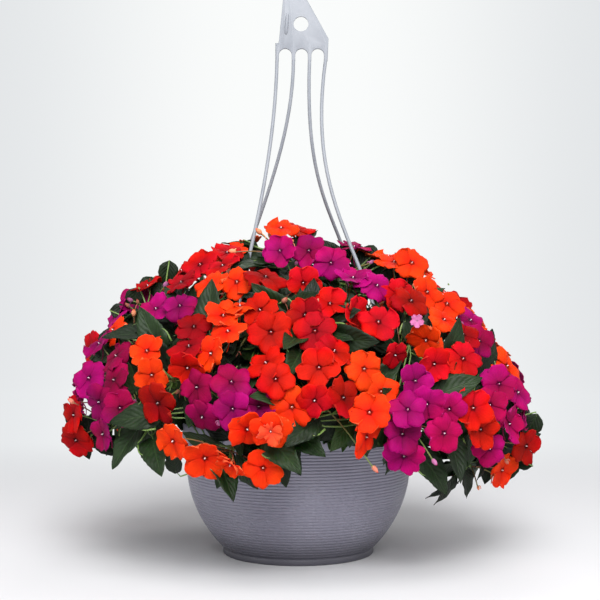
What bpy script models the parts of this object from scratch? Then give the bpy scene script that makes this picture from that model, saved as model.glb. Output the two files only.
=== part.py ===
"""A busy lizzie in flower, in its ribbed bowl with a moulded hanger.

The bowl stands on its foot at the origin, with +Z up, and the side that faces -Y is its front.
Five plants root in the soil. Each is a leafy core with shoots, and each shoot carries one spray
of blooms of one colour.
"""
import math
import random

import bmesh
import bpy
from mathutils import Matrix, Vector
from mathutils.bvhtree import BVHTree

# Bowl, in metres
RIM_RADIUS = 0.155
RIM_TOP = 0.174
RIM_BAND = 0.023
RIM_STEP = 0.0012
FOOT_RADIUS = 0.1005
FOOT_HEIGHT = 0.008
WALL = 0.0028
FLOOR_TOP = 0.004
BOWL_TURN = (0.1385, 0.0465)
BOWL_SHOULDER = (0.147, 0.095)
RIB_COUNT = 12
RIB_DEPTH = 0.0011
ROUND_SIDES = 26
DRAIN_COUNT = 4
DRAIN_RADIUS = 0.006
DRAIN_RING = 0.070
INNER_HEIGHTS = (0.1725, 0.1535, 0.149, 0.105, 0.062, 0.030, FLOOR_TOP)

# Soil and planting
SOIL_TOP = 0.150
SOIL_GAP = 0.0006
PLANT_RING = 0.140
PLANT_TURN = 6.0
STEM_RING = 0.088
STEM_RADIUS = 0.0065
STEM_FOOT = 0.1103
STEM_HOLE = 0.0085
CORE_OUTER = (0.079, 0.092, 0.062)
CORE_OUTER_HEIGHT = 0.247
CORE_MIDDLE = (0.056, 0.056, 0.090)
CORE_MIDDLE_HEIGHT = 0.272
CORE_DENTS = (1.0, 0.88, 0.97, 0.84, 0.94)

# Hanger: a flat plate, a hook above it, and four strands from the plate to clips on the rim
HANGER_DEPTH = 0.004
STRAND_RADIUS = 0.0024
STRAND_SIDES = 4
STRAND_STEPS = 12
STRAND_TOP = 0.660
ARCH_FOOT = 0.656
ARCH_SPRING = 0.664
CLIP_BOTTOM = 0.158
CLIP_SLOT = 0.1747
CLIP_TOP = 0.182
CLIP_INNER = (0.1476, 0.1508)
CLIP_OUTER = (0.1557, 0.1592)
CLIP_WIDTH = 0.012
# Each strand: where it leaves the plate, the way to its clip, how far it leans there, and how
# long it holds its direction at the plate and at the clip
STRANDS = (
    (-0.0285, 231.0, -0.02, 0.200, 0.120),
    (-0.0065, 141.0, 0.0, 0.170, 0.180),
    (0.0151, 51.0, -0.04, 0.260, 0.300),
    (0.0368, 321.0, -0.14, 0.230, 0.210),
)
PLATE_HOLE = (0.0036, 0.7058)
PLATE_HOLE_RADIUS = 0.0100
HOOK_CENTRE = (0.0050, 0.7860)
HOOK_INNER = 0.0150
HOOK_OUTER = 0.0245

# The mound of flowers: its radius at each height, and how its surface's slope is measured
MOUND = (
    (0.075, 0.205), (0.100, 0.235), (0.125, 0.262), (0.150, 0.282), (0.175, 0.296),
    (0.200, 0.298), (0.230, 0.290), (0.260, 0.276), (0.290, 0.256), (0.320, 0.232),
    (0.345, 0.206), (0.365, 0.180), (0.385, 0.146), (0.400, 0.112), (0.414, 0.070),
    (0.424, 0.030), (0.428, 0.000),
)
# The outline that the picture shows: rows of it, with their left and right ends, in pixels
OUTLINE = (
    (223, 275, 301), (231, 258, 310), (239, 238, 319), (247, 232, 379), (263, 201, 416),
    (279, 141, 426), (295, 123, 441), (311, 111, 462), (327, 102, 478), (343, 89, 485),
    (359, 83, 515), (391, 82, 519), (423, 57, 531), (455, 57, 531),
)
OUTLINE_MARGIN = 8.0
OUTLINE_MIDDLE = Vector((0.0, 0.0, 0.250))
DRAW_IN_SHARES = (1.0, 0.97, 0.94, 0.91, 0.88)
SLOPE_STEP = 0.012
SLOPE_TOP = 0.410
CROWN_RADIUS = 0.030
LEAST_RISE = -0.12

# Places read from the picture are pixels, turned into metres along the line of sight
EYE = Vector((0.0, -1.700, 0.336))
PIXEL = 0.00134
PICTURE_AXIS = (298.3, 300.0)
SIGHT_START = -0.330
SIGHT_END = 0.030
SIGHT_STEP = 0.002

# Blooms seen from the front, by colour
ORANGE_SEEN = (
    (281, 228), (211, 284), (237, 282), (240, 306), (228, 318), (228, 333), (214, 355),
    (113, 330), (147, 351), (152, 375), (173, 441), (205, 458), (231, 463), (263, 468),
    (247, 429), (270, 430), (292, 407), (364, 369), (382, 390), (366, 437), (369, 412),
    (394, 262), (410, 270), (427, 292), (444, 320), (447, 304), (426, 340), (507, 366),
    (502, 470),
)
RED_SEEN = (
    (297, 230), (266, 279), (303, 283), (330, 304), (353, 311), (305, 315), (315, 331),
    (271, 332), (256, 310), (194, 327), (190, 347), (188, 369), (378, 324), (334, 352),
    (266, 363), (277, 381), (320, 369), (343, 398), (313, 401), (91, 347), (158, 403),
    (74, 415), (76, 440), (148, 286), (398, 295), (409, 305), (388, 326), (434, 364),
    (463, 359), (463, 335), (395, 355), (473, 408), (482, 430), (526, 446),
)
MAGENTA_SEEN = (
    (280, 251), (309, 251), (331, 263), (354, 247), (353, 278), (376, 288), (133, 298),
    (115, 308), (156, 309), (180, 306), (102, 345), (116, 356), (114, 380), (89, 378),
    (99, 402), (120, 408), (103, 434), (198, 388), (232, 383), (233, 411), (257, 405),
    (201, 416), (472, 318), (479, 341), (499, 384), (516, 394), (522, 414), (415, 381),
    (426, 404), (406, 410), (449, 409), (443, 432), (490, 405), (509, 424), (404, 456),
    (402, 434), (490, 449),
)
SEEN = {"orange": ORANGE_SEEN, "red": RED_SEEN, "magenta": MAGENTA_SEEN}

# Middles of leaves seen from the front
LEAVES_SEEN = (
    (247, 247), (272, 304), (301, 302), (296, 360), (247, 380), (271, 396), (209, 306),
    (362, 252), (351, 340), (292, 423), (282, 452), (303, 430), (225, 474), (136, 417),
    (126, 443), (155, 453), (129, 333), (456, 455), (434, 471), (517, 441), (453, 346),
    (456, 387), (487, 355), (406, 392), (415, 322), (150, 331), (440, 268), (190, 268),
)

# What the picture shows behind a front strand lies this much deeper than the mound's surface
BEHIND_STRAND = {(354, 247): 0.030, (247, 247): 0.080, (362, 252): 0.050}

# Blooms and sprays
BLOOM_SIZE = 0.047
STALK_RADIUS = 0.0011
SPRAY_REACH = 0.066
SPRAY_MOST = 7
SPRAY_DEPTH = 0.043
SPRAY_COUNT = 52
PLACE_COUNT = 240
# A place that faces the front more than this is left as the picture shows it
FRONT_SHARE = 0.3
HUB_RADIUS = 0.0034
HUB_RISE = 0.0050
HUB_BALL = 0.0056
SHOOT_RADII = (0.0034, 0.0026, 0.0023)
SHOOT_GAP = 0.0004
SHOOT_END = 0.014
KNOT_REACH = 0.0040
KNOT_BALL = 0.0052
KNOT_SPREAD = 42.0
HUB_SLIDE = 0.018
CLEAR = 0.0008

# Leaves
LEAF_LENGTH = 0.066
LEAF_WIDTH = 0.034
LEAF_COUNT = 72
LEAF_BEND = 0.16
LEAF_THICK = 0.0020

COLOURS = {
    "orange": (1.0, 0.13, 0.012),
    "red": (0.80, 0.014, 0.010),
    "magenta": (0.45, 0.004, 0.19),
    "leaf": (0.020, 0.075, 0.022),
    "pot": (0.19, 0.19, 0.23),
    "hanger": (0.56, 0.60, 0.66),
    "soil": (0.045, 0.028, 0.018),
}


def mound_radius(height):
    """The mound's radius at a height, or less than nothing above its top."""
    if height > MOUND[-1][0]:
        return -1.0
    for (low, near), (high, far) in zip(MOUND, MOUND[1:]):
        if height <= high:
            return near + (far - near) * (height - low) / (high - low)
    return 0.0


def mound_normal(point):
    """The way out of the mound at a point of its surface."""
    height = min(point.z, SLOPE_TOP)
    low = max(mound_radius(height - SLOPE_STEP), 0.0)
    high = max(mound_radius(height + SLOPE_STEP), 0.0)
    out = Vector((point.x, point.y, 0.0))
    if out.length < CROWN_RADIUS:
        return (out * 12.0 + Vector((0.0, 0.0, 1.0))).normalized()
    out.normalize()
    rise = max((low - high) / (2.0 * SLOPE_STEP), LEAST_RISE)
    return Vector((out.x, out.y, rise)).normalized()


def sight(pixel, sink=0.0):
    """The mound's surface, or a layer sunk below it, on the line of sight through a pixel."""
    best = None
    least = 9.0
    for step in range(round((SIGHT_END - SIGHT_START) / SIGHT_STEP) + 1):
        y = SIGHT_START + SIGHT_STEP * step
        far = (y - EYE.y) / -EYE.y
        x = (pixel[0] - PICTURE_AXIS[0]) * PIXEL * far
        z = EYE.z + (PICTURE_AXIS[1] - pixel[1]) * PIXEL * far
        gap = math.hypot(x, y) - mound_radius(z) + sink
        if gap < least:
            best = Vector((x, y, z))
            least = gap
        if gap <= 0.0:
            break
    return best


def within_outline(place):
    """Whether a place shows within the outline that the picture shows."""
    far = (place.y - EYE.y) / -EYE.y
    across = PICTURE_AXIS[0] + place.x / far / PIXEL
    down = PICTURE_AXIS[1] - (place.z - EYE.z) / far / PIXEL
    if down < OUTLINE[0][0]:
        return False
    for above, below in zip(OUTLINE, OUTLINE[1:]):
        if down <= below[0]:
            share = (down - above[0]) / (below[0] - above[0])
            left = above[1] + (below[1] - above[1]) * share
            right = above[2] + (below[2] - above[2]) * share
            return left - OUTLINE_MARGIN < across < right + OUTLINE_MARGIN
    return True


def drawn_in(place):
    """A place drawn in towards the mound's middle until it shows within the outline."""
    for share in DRAW_IN_SHARES:
        closer = OUTLINE_MIDDLE.lerp(place, share)
        if within_outline(closer):
            break
    return closer


def spray_middle(blooms):
    """The middle of a spray's blooms, and its furthest bloom's distance from it."""
    middle = sum((bloom["centre"] for bloom in blooms), Vector()) / len(blooms)
    return middle, max((bloom["centre"] - middle).length for bloom in blooms)


def gather(blooms):
    """Gather blooms of one colour into sprays, joining the two closest groups again and again."""
    sprays = [[bloom] for bloom in blooms]
    while True:
        best = None
        for first in range(len(sprays)):
            for second in range(first + 1, len(sprays)):
                both = sprays[first] + sprays[second]
                if len(both) > SPRAY_MOST:
                    continue
                reach = spray_middle(both)[1]
                if reach < SPRAY_REACH and (best is None or reach < best[0]):
                    best = (reach, first, second)
        if best is None:
            return sprays
        sprays[best[1]] = sprays[best[1]] + sprays.pop(best[2])


def seen_sprays(draw):
    """The sprays seen from the front, each with its colour and its blooms."""
    sprays = []
    for colour, pixels in SEEN.items():
        blooms = []
        for pixel in pixels:
            centre = sight(pixel, BEHIND_STRAND.get(pixel, 0.0))
            out = mound_normal(centre)
            facing = out * 0.62 + (EYE - centre).normalized() * 0.55
            facing += Vector((draw.uniform(-0.2, 0.2), 0.0, draw.uniform(-0.2, 0.2)))
            blooms.append({
                "centre": centre,
                "facing": facing.normalized(),
                "roll": draw.uniform(0.0, 72.0),
                "size": BLOOM_SIZE * draw.uniform(0.92, 1.06),
            })
        sprays += [{"colour": colour, "blooms": group} for group in gather(blooms)]
    return sprays


def mound_point(share, turn):
    """A point on the mound's surface, at a share of its area from the top and at a turn."""
    heights = [0.150 + 0.0035 * step for step in range(80)]
    bands = []
    for height in heights:
        slope = (mound_radius(height + 0.002) - mound_radius(height - 0.002)) / 0.004
        bands.append(max(mound_radius(height), 0.0) * math.hypot(1.0, min(abs(slope), 4.0)))
    left = sum(bands) * (1.0 - share)
    for height, band in zip(heights, bands):
        left -= band
        if left <= 0.0:
            break
    radius = max(mound_radius(height), 0.0)
    return Vector((radius * math.cos(turn), radius * math.sin(turn), height))


def fill_bare_places(draw, sprays, plants, crowd):
    """Sprays for the sides, back and top, each at the mound's barest place so far."""
    places = [mound_point((index + 0.5) / PLACE_COUNT, index * math.radians(137.508))
              for index in range(PLACE_COUNT)]
    places = [place for place in places
              if mound_normal(place).dot((EYE - place).normalized()) < FRONT_SHARE]
    names = list(SEEN)
    while len(sprays) < SPRAY_COUNT and places:
        taken = [(bloom["centre"], spray["colour"]) for spray in sprays
                 for bloom in spray["blooms"]]
        centre = max(places, key=lambda place: min((place - other).length for other, _ in taken))
        places.remove(centre)
        near = sorted(taken, key=lambda place: (place[0] - centre).length)[:8]
        colour = min(names, key=lambda name: (sum(name == other for _, other in near),
                                              (names.index(name) + len(sprays)) % 3))
        spray = {"colour": colour, "blooms": spread_blooms(draw, centre)}
        root_spray(spray, sprays, plants, crowd)


def spread_blooms(draw, centre):
    """One bloom at a spray's middle and four round it, on the mound's surface."""
    out = mound_normal(centre)
    side = out.cross(Vector((0.0, 0.0, 1.0)))
    side = side.normalized() if side.length > 0.1 else Vector((1.0, 0.0, 0.0))
    blooms = []
    start = draw.uniform(0.0, 90.0)
    for count in range(5):
        turn = math.radians(start + 90.0 * count + draw.uniform(-12.0, 12.0))
        reach = 0.006 if count == 4 else draw.uniform(0.040, 0.050)
        place = centre + (side * math.cos(turn) + out.cross(side) * math.sin(turn)) * reach
        flat = math.hypot(place.x, place.y)
        drop = flat - max(mound_radius(place.z), 0.0)
        place -= mound_normal(place) * max(min(drop, 0.02), -0.02) * 0.7
        place = drawn_in(place)
        facing = mound_normal(place) * 0.8 + (place - centre + out * 0.08).normalized() * 0.3
        facing += Vector([draw.uniform(-0.16, 0.16) for _ in range(3)])
        facing.z += 0.12
        blooms.append({
            "centre": place,
            "facing": facing.normalized(),
            "roll": draw.uniform(0.0, 72.0),
            "size": BLOOM_SIZE * draw.uniform(0.92, 1.06),
        })
    return blooms


def plant_places():
    """Each plant: its stem's foot, its core's centre, and its core's three half sizes."""
    places = [(Vector((0.0, 0.0, STEM_FOOT)), Vector((0.0, 0.0, CORE_MIDDLE_HEIGHT)),
               CORE_MIDDLE, 0.0)]
    for quarter in range(4):
        turn = math.radians(PLANT_TURN + 90.0 * quarter)
        way = Vector((math.cos(turn), math.sin(turn), 0.0))
        foot = way * STEM_RING + Vector((0.0, 0.0, STEM_FOOT))
        centre = way * PLANT_RING + Vector((0.0, 0.0, CORE_OUTER_HEIGHT))
        places.append((foot, centre, CORE_OUTER, turn))
    return places


def core_surface(plant, target):
    """Where the line from a plant's core to a point leaves the core."""
    centre, sizes, turn = plant[1:]
    way = Matrix.Rotation(-turn, 3, "Z") @ (target - centre)
    share = math.sqrt(sum((part / size) ** 2 for part, size in zip(way, sizes)))
    return centre + (target - centre) / max(share, 1.0)


def frame_of(axis, roll=0.0):
    """Two directions square to an axis and to each other."""
    other = Vector((0.0, 0.0, 1.0)) if abs(axis.z) < 0.9 else Vector((1.0, 0.0, 0.0))
    side = axis.cross(other).normalized()
    side = Matrix.Rotation(math.radians(roll), 3, axis) @ side
    return side, axis.cross(side).normalized()


def tube_sides(first, second, sides, outward=True):
    """The triangles between two rings of points."""
    faces = []
    for step in range(sides):
        following = (step + 1) % sides
        quad = (first + step, first + following, second + following, second + step)
        quad = quad if outward else quad[::-1]
        faces += [(quad[0], quad[1], quad[2]), (quad[0], quad[2], quad[3])]
    return faces


def bloom_shape(bloom):
    """A five-petalled face with a shallow back and a three-sided stalk down to its root."""
    out = bloom["facing"]
    side, up = frame_of(out, bloom["roll"])
    reach = bloom["size"] / 2.0
    points = [bloom["centre"] - out * 0.0016]
    for petal in range(5):
        for turn, share, rise in ((-21.0, 1.0, 0.0004), (21.0, 0.97, -0.0016), (36.0, 0.66, -0.0006)):
            angle = math.radians(72.0 * petal + turn)
            way = side * math.cos(angle) + up * math.sin(angle)
            points.append(bloom["centre"] + way * reach * share + out * rise)
    throat = bloom["centre"] - out * 0.0062
    down = (bloom["root"] - throat).normalized()
    low_side = (side - down * side.dot(down)).normalized()
    low_up = low_side.cross(down)
    for place, first, second, wide in ((throat, side, up, 1.4),
                                       (bloom["root"], low_side, low_up, 1.0)):
        for third in range(3):
            angle = math.radians(120.0 * third + 35.0)
            way = first * math.cos(angle) + second * math.sin(angle)
            points.append(place + way * STALK_RADIUS * wide)
    faces = [(0, 1 + step, 1 + (step + 1) % 15) for step in range(15)]
    for third in range(3):
        for step in range(5 * third, 5 * third + 5):
            faces.append((16 + third, 1 + step, 1 + (step + 14) % 15))
        faces.append((16 + third, 16 + (third + 1) % 3, 5 + 5 * third))
    faces += tube_sides(16, 19, 3, False)
    faces.append((21, 20, 19))
    return points, faces


def leaf_shape(leaf):
    """A toothed blade folded along its midrib, with a four-sided stalk to its root."""
    axis = leaf["tip"] - leaf["base"]
    length = axis.length
    axis.normalize()
    side = axis.cross(leaf["up"]).normalized()
    up = side.cross(axis).normalized()
    half = leaf["width"] / 2.0

    def at(along, across, lift):
        bend = -LEAF_BEND * length * along * along
        return leaf["base"] + axis * length * along + side * half * across + up * (bend + lift)

    stalk = (leaf["base"] - leaf["root"]).normalized()
    stalk_side = stalk.cross(up).normalized()
    stalk_up = stalk_side.cross(stalk).normalized()
    points = []
    for across, lift in ((0, 1), (-1, 0), (0, -1), (1, 0)):
        points.append(leaf["root"] + stalk_side * across * 0.0013 + stalk_up * lift * 0.0010)
    points += [at(0, 0, LEAF_THICK / 2), at(0, -0.085, 0), at(0, 0, -LEAF_THICK / 2), at(0, 0.085, 0)]
    teeth = ((0.20, 0.84), (0.42, 1.00), (0.50, 0.84), (0.76, 0.58))
    for hand in (-1, 1):
        points += [at(along, hand * across, 0.004 * across) for along, across in teeth]
    points += [at(0.32, 0, 0.0003), at(0.64, 0, 0.0003), at(0.32, 0, -0.0013), at(0.64, 0, -0.0012)]
    points.append(at(1.0, 0, 0.0))
    tip = 20
    faces = [(0, 1, 2), (0, 2, 3)] + tube_sides(0, 4, 4, False)
    for ridge, low, high, top in ((4, 16, 17, True), (6, 18, 19, False)):
        for edge, first, left in ((5, 8, True), (7, 12, False)):
            half_faces = [(ridge, first, edge), (ridge, low, first), (low, first + 1, first),
                          (low, first + 2, first + 1), (low, high, first + 2),
                          (high, first + 3, first + 2), (high, tip, first + 3)]
            if top != left:
                half_faces = [face[::-1] for face in half_faces]
            faces += half_faces
    return points, faces


def hub_shape(spray):
    """The room that a spray's hub takes, as a ball of eight flat faces."""
    middle = spray["hub"] + spray["axis"] * HUB_RISE
    side, up = frame_of(spray["axis"], 45.0)
    points = [spray["hub"] + spray["axis"] * HUB_BALL * 2.0, spray["hub"]]
    points += [middle + (side * across + up * over) * HUB_BALL
               for across, over in ((1, 0), (0, 1), (-1, 0), (0, -1))]
    faces = [(0, 2 + step, 2 + (step + 1) % 4) for step in range(4)]
    return points, faces + [(1, 2 + (step + 1) % 4, 2 + step) for step in range(4)]


def spray_shape(spray):
    """A spray in one skin: its hub, flat towards the shoot, with each bloom's stalk out of it."""
    side, up = frame_of(spray["axis"], 45.0)
    skin = bmesh.new()
    hub = [skin.verts.new(spray["hub"] + (side * across + up * over) * HUB_RADIUS)
           for across, over in ((1, 0), (0, 1), (-1, 0), (0, -1))]
    roots = []
    for bloom in spray["blooms"]:
        points, faces = bloom_shape(bloom)
        verts = [skin.verts.new(point) for point in points]
        for face in faces[:-1]:
            skin.faces.new([verts[index] for index in face])
        roots.append(set(verts[19:22]))
        hub += verts[19:22]
    hull = bmesh.ops.convex_hull(skin, input=hub)["geom"]
    caps = [face for face in hull if isinstance(face, bmesh.types.BMFace)
            and set(face.verts) in roots]
    bmesh.ops.delete(skin, geom=caps, context="FACES")
    skin.verts.index_update()
    closed = len(caps) == len(roots) and all(edge.is_manifold for edge in skin.edges)
    shape = ([vert.co.copy() for vert in skin.verts],
             [tuple(vert.index for vert in face.verts) for face in skin.faces])
    skin.free()
    return shape if closed else None


def rod_shape(places, radii, sides):
    """A rod through the given places, with a radius at each of them and flat ends."""
    points = []
    faces = []
    ends = len(places) - 1
    first = frame_of((places[1] - places[0]).normalized())[0]
    for index, (place, radius) in enumerate(zip(places, radii)):
        along = (places[min(index + 1, ends)] - places[max(index - 1, 0)]).normalized()
        side = (first - along * first.dot(along)).normalized()
        up = along.cross(side)
        for step in range(sides):
            turn = 2.0 * math.pi * step / sides
            points.append(place + (side * math.cos(turn) + up * math.sin(turn)) * radius)
        if index:
            faces += tube_sides((index - 1) * sides, index * sides, sides)
    last = ends * sides
    faces += [(0, step + 1, step) for step in range(1, sides - 1)]
    faces += [(last, last + step, last + step + 1) for step in range(1, sides - 1)]
    return points, faces


def core_shape(plant):
    """A plant's dense core of stems and small leaves, as an egg of uneven flat faces."""
    centre, sizes, turn = plant[1:]
    ball = bmesh.new()
    bmesh.ops.create_icosphere(ball, subdivisions=2, radius=1.0)
    place = Matrix.Translation(centre) @ Matrix.Rotation(turn, 4, "Z") @ Matrix.Diagonal((*sizes, 1.0))
    points = [place @ (vert.co * CORE_DENTS[vert.index % len(CORE_DENTS)]) for vert in ball.verts]
    faces = [tuple(vert.index for vert in face.verts) for face in ball.faces]
    ball.free()
    return points, faces


def strand_places(strand):
    """Points down one strand, from inside the plate to inside its clip."""
    across, turn, lean, top_hold, clip_hold = strand
    turn = math.radians(turn)
    radius = RIM_RADIUS - WALL / 2.0
    top = Vector((across, 0.0, STRAND_TOP))
    end = Vector((radius * math.cos(turn), radius * math.sin(turn), CLIP_TOP - 0.004))
    bends = (top, top + Vector((lean, 0, -1)) * top_hold, end + Vector((0, 0, clip_hold)), end)
    places = [top + Vector((0, 0, 0.022))]
    for step in range(STRAND_STEPS):
        share = step / (STRAND_STEPS - 1)
        weights = ((1 - share) ** 3, 3 * (1 - share) ** 2 * share,
                   3 * (1 - share) * share ** 2, share ** 3)
        places.append(sum((bend * weight for bend, weight in zip(bends, weights)), Vector()))
    return places


def strand_shape(strand):
    """One strand of the hanger."""
    places = strand_places(strand)
    return rod_shape(places, [STRAND_RADIUS] * len(places), STRAND_SIDES)


def clip_shape(strand):
    """The clip at a strand's lower end, which straddles the rim."""
    turn = math.radians(strand[1])
    out = Vector((math.cos(turn), math.sin(turn), 0.0))
    side = Vector((-out.y, out.x, 0.0))
    outline = (
        (CLIP_INNER[0], CLIP_BOTTOM), (CLIP_INNER[1], CLIP_BOTTOM), (CLIP_INNER[1], CLIP_SLOT),
        (CLIP_OUTER[0], CLIP_SLOT), (CLIP_OUTER[0], CLIP_BOTTOM), (CLIP_OUTER[1], CLIP_BOTTOM),
        (CLIP_OUTER[1], CLIP_TOP), (CLIP_INNER[0], CLIP_TOP),
    )
    near = [out * radius - side * CLIP_WIDTH / 2 + Vector((0, 0, height)) for radius, height in outline]
    return prism_shape(near, side * CLIP_WIDTH)


def prism_shape(near, along):
    """A flat outline and its copy further along, with a wall between them."""
    count = len(near)
    points = near + [point + along for point in near]
    faces = [tuple(range(count)), tuple(reversed(range(count, 2 * count)))]
    faces += [(step, step + count, (step + 1) % count + count, (step + 1) % count)
              for step in range(count)]
    return points, faces


def arc(centre, radius, start, end, steps):
    """Points along an arc in the hanger's plane, from one angle to another in degrees."""
    turns = [math.radians(start + (end - start) * step / steps) for step in range(steps + 1)]
    return [(centre[0] + radius * math.cos(turn), centre[1] + radius * math.sin(turn))
            for turn in turns]


def plate_shape():
    """The hanger's flat plate, arched between its strands, with the hook above it."""
    outline = [(-0.0205, 0.738), (-0.0259, 0.684)]
    for index, strand in enumerate(STRANDS):
        left = strand[0] - STRAND_RADIUS
        right = strand[0] + STRAND_RADIUS
        outline += [(left, ARCH_FOOT), (right, ARCH_FOOT)]
        if index < 3:
            reach = (STRANDS[index + 1][0] - STRAND_RADIUS - right) / 2
            outline += arc((right + reach, ARCH_SPRING), reach, 180.0, 0.0, 5)
    outline += [(0.0405, 0.686), (0.0117, 0.738), (0.0020, 0.7605)]
    outline += arc(HOOK_CENTRE, HOOK_INNER, 228.0, -48.0, 11)
    outline += arc(HOOK_CENTRE, HOOK_OUTER, -42.0, 196.0, 11)
    near = [Vector((x, -HANGER_DEPTH / 2, z)) for x, z in outline]
    return prism_shape(near, Vector((0.0, HANGER_DEPTH, 0.0)))


class Crowd:
    """The solids placed so far, to test whether a new one would cross any of them."""

    def __init__(self):
        self.placed = []

    def add(self, shape, owner):
        points, faces = shape
        low = [min(point[axis] for point in points) for axis in range(3)]
        high = [max(point[axis] for point in points) for axis in range(3)]
        self.placed.append((low, high, BVHTree.FromPolygons(points, faces), owner))

    def crosses(self, shape, shift=None, allowed=()):
        """Whether a shape crosses another's, where it is or shifted a little to either side."""
        points, faces = shape
        for way in (0.0, 1.0, -1.0) if shift else (0.0,):
            moved = [point + shift * way for point in points] if way else points
            low = [min(point[axis] for point in moved) for axis in range(3)]
            high = [max(point[axis] for point in moved) for axis in range(3)]
            tree = None
            for other_low, other_high, other, owner in self.placed:
                if owner in allowed:
                    continue
                if any(low[axis] > other_high[axis] or high[axis] < other_low[axis]
                       for axis in range(3)):
                    continue
                tree = tree or BVHTree.FromPolygons(moved, faces)
                if tree.overlap(other):
                    return True
        return False


def nearest_plant(plants, point):
    """The plant whose core is nearest to a point."""
    return min(range(len(plants)), key=lambda index:
               (core_surface(plants[index], point) - point).length)


def root_spray(spray, sprays, plants, crowd):
    """Give a spray its hub, its plant and its shoot, and add it to the others if it has room."""
    middle = spray_middle(spray["blooms"])[0]
    out = mound_normal(middle)
    side, up = frame_of(out)
    tries = [(depth, across, over) for depth in (1.0, 0.84, 1.16, 0.68, 0.56, 1.34)
             for across, over in ((0, 0), (1, 0), (-1, 0), (0, 1), (0, -1), (1, 1), (-1, -1))]
    for depth, across, over in tries:
        hub = middle - out * SPRAY_DEPTH * depth + (side * across + up * over) * HUB_SLIDE
        plant = nearest_plant(plants, hub)
        foot = core_surface(plants[plant], hub)
        way = (hub - plants[plant][1]).normalized()
        axis = (way + out * 0.6).normalized()
        tip = hub - axis * SHOOT_GAP
        places = [foot - way * 0.016, tip - axis * SHOOT_END, tip]
        if (places[1] - foot).dot(way) < 0.006:
            continue
        trial = {"hub": hub, "axis": axis, "plant": plant, "shoot": places, "leaves": []}
        shoot = rod_shape(places, SHOOT_RADII, 4)
        if crowd.crosses(shoot, out * CLEAR, (plant,)) or crowd.crosses(hub_shape(trial), out * CLEAR):
            continue
        number = 1 + sum(other["colour"] == spray["colour"] for other in sprays)
        spray.update(trial, name="blooms_%s_%02d" % (spray["colour"], number))
        crowd.add(shoot, plant)
        crowd.add(hub_shape(spray), spray["name"])
        sprays.append(spray)
        return


def try_bloom(bloom, spray, crowd, siblings):
    """Move a bloom a little until it crosses nothing, and say whether it found room."""
    middle = spray["hub"] + spray["axis"] * HUB_RISE
    first = bloom["centre"].copy()
    facing = bloom["facing"].copy()
    size = bloom["size"]
    side, up = frame_of(facing)
    for share, slide in ((1.0, 0.0), (1.0, 0.005), (0.9, 0.008), (0.82, 0.012), (0.74, 0.014)):
        for lift in (0.0, 0.005, -0.005, 0.010, -0.010, 0.015, -0.015, 0.020, 0.026):
            for lean, turn in ((0.25, 0.0), (0.7, 90.0), (0.05, 180.0), (0.45, 270.0)):
                push = side * math.cos(math.radians(turn)) + up * math.sin(math.radians(turn))
                bloom["centre"] = first + facing * lift + push * slide
                away = (bloom["centre"] - middle).normalized()
                bloom["facing"] = (facing + away * lean).normalized()
                bloom["size"] = size * share
                bloom["root"] = middle + away * HUB_BALL
                if bloom["facing"].dot(away) < 0.35 or spray["axis"].dot(away) < -0.35:
                    continue
                spread = bloom["facing"] * CLEAR
                if crowd.crosses(bloom_shape(bloom), spread, (spray["name"],)):
                    continue
                if siblings.crosses(bloom_shape(bloom), spread):
                    continue
                trial = dict(spray, blooms=spray["placed"] + [bloom])
                if spray_shape(trial):
                    return True
    return False


def place_blooms(sprays, crowd):
    """Place every spray's blooms clear of all else, and drop the few that find no room."""
    for spray in sprays:
        siblings = Crowd()
        spray["placed"] = []
        for bloom in spray["blooms"]:
            if try_bloom(bloom, spray, crowd, siblings):
                spray["placed"].append(bloom)
                crowd.add(bloom_shape(bloom), spray["name"])
                siblings.add(bloom_shape(bloom), spray["name"])
        spray["blooms"] = spray["placed"]
    sprays = [spray for spray in sprays if spray["blooms"]]
    for spray in sprays:
        crowd.add(spray_shape(spray), spray["name"])
    return sprays


def shoot_shape(spray):
    """A shoot in one skin: from inside its core to its knot of leaves, and on to its tip."""
    start, knot, tip = spray["shoot"]
    skin = bmesh.new()
    rings = []
    for end, radius, end_radius in ((start, SHOOT_RADII[1], SHOOT_RADII[0]),
                                    (tip, SHOOT_RADII[1], SHOOT_RADII[2])):
        near = knot + (end - knot).normalized() * KNOT_REACH
        points, faces = rod_shape([near, end], (radius, end_radius), 4)
        verts = [skin.verts.new(point) for point in points]
        for face in faces:
            if max(face) > 3:
                skin.faces.new([verts[index] for index in face])
        rings.append(verts[:4])
    for leaf in spray["leaves"]:
        points, faces = leaf_shape(leaf)
        verts = [skin.verts.new(point) for point in points]
        for face in faces[2:]:
            skin.faces.new([verts[index] for index in face])
        rings.append(verts[:4])
    hull = bmesh.ops.convex_hull(skin, input=[vert for ring in rings for vert in ring])["geom"]
    caps = [face for face in hull if isinstance(face, bmesh.types.BMFace)
            and any(set(face.verts) <= set(ring) for ring in rings)]
    bmesh.ops.delete(skin, geom=caps, context="FACES")
    skin.verts.index_update()
    closed = all(edge.is_manifold for edge in skin.edges)
    closed = closed and all(vert.link_faces for vert in skin.verts)
    shape = ([vert.co.copy() for vert in skin.verts],
             [tuple(vert.index for vert in face.verts) for face in skin.faces])
    skin.free()
    return shape if closed else None


def leaf_fits(spray, way):
    """Whether a leaf can leave a shoot's knot this way, clear of the shoot and its other leaves."""
    start, knot, tip = spray["shoot"]
    ways = [(start - knot).normalized(), (tip - knot).normalized()]
    ways += [(leaf["base"] - knot).normalized() for leaf in spray["leaves"]]
    return all(math.degrees(way.angle(other)) > KNOT_SPREAD for other in ways)


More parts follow.
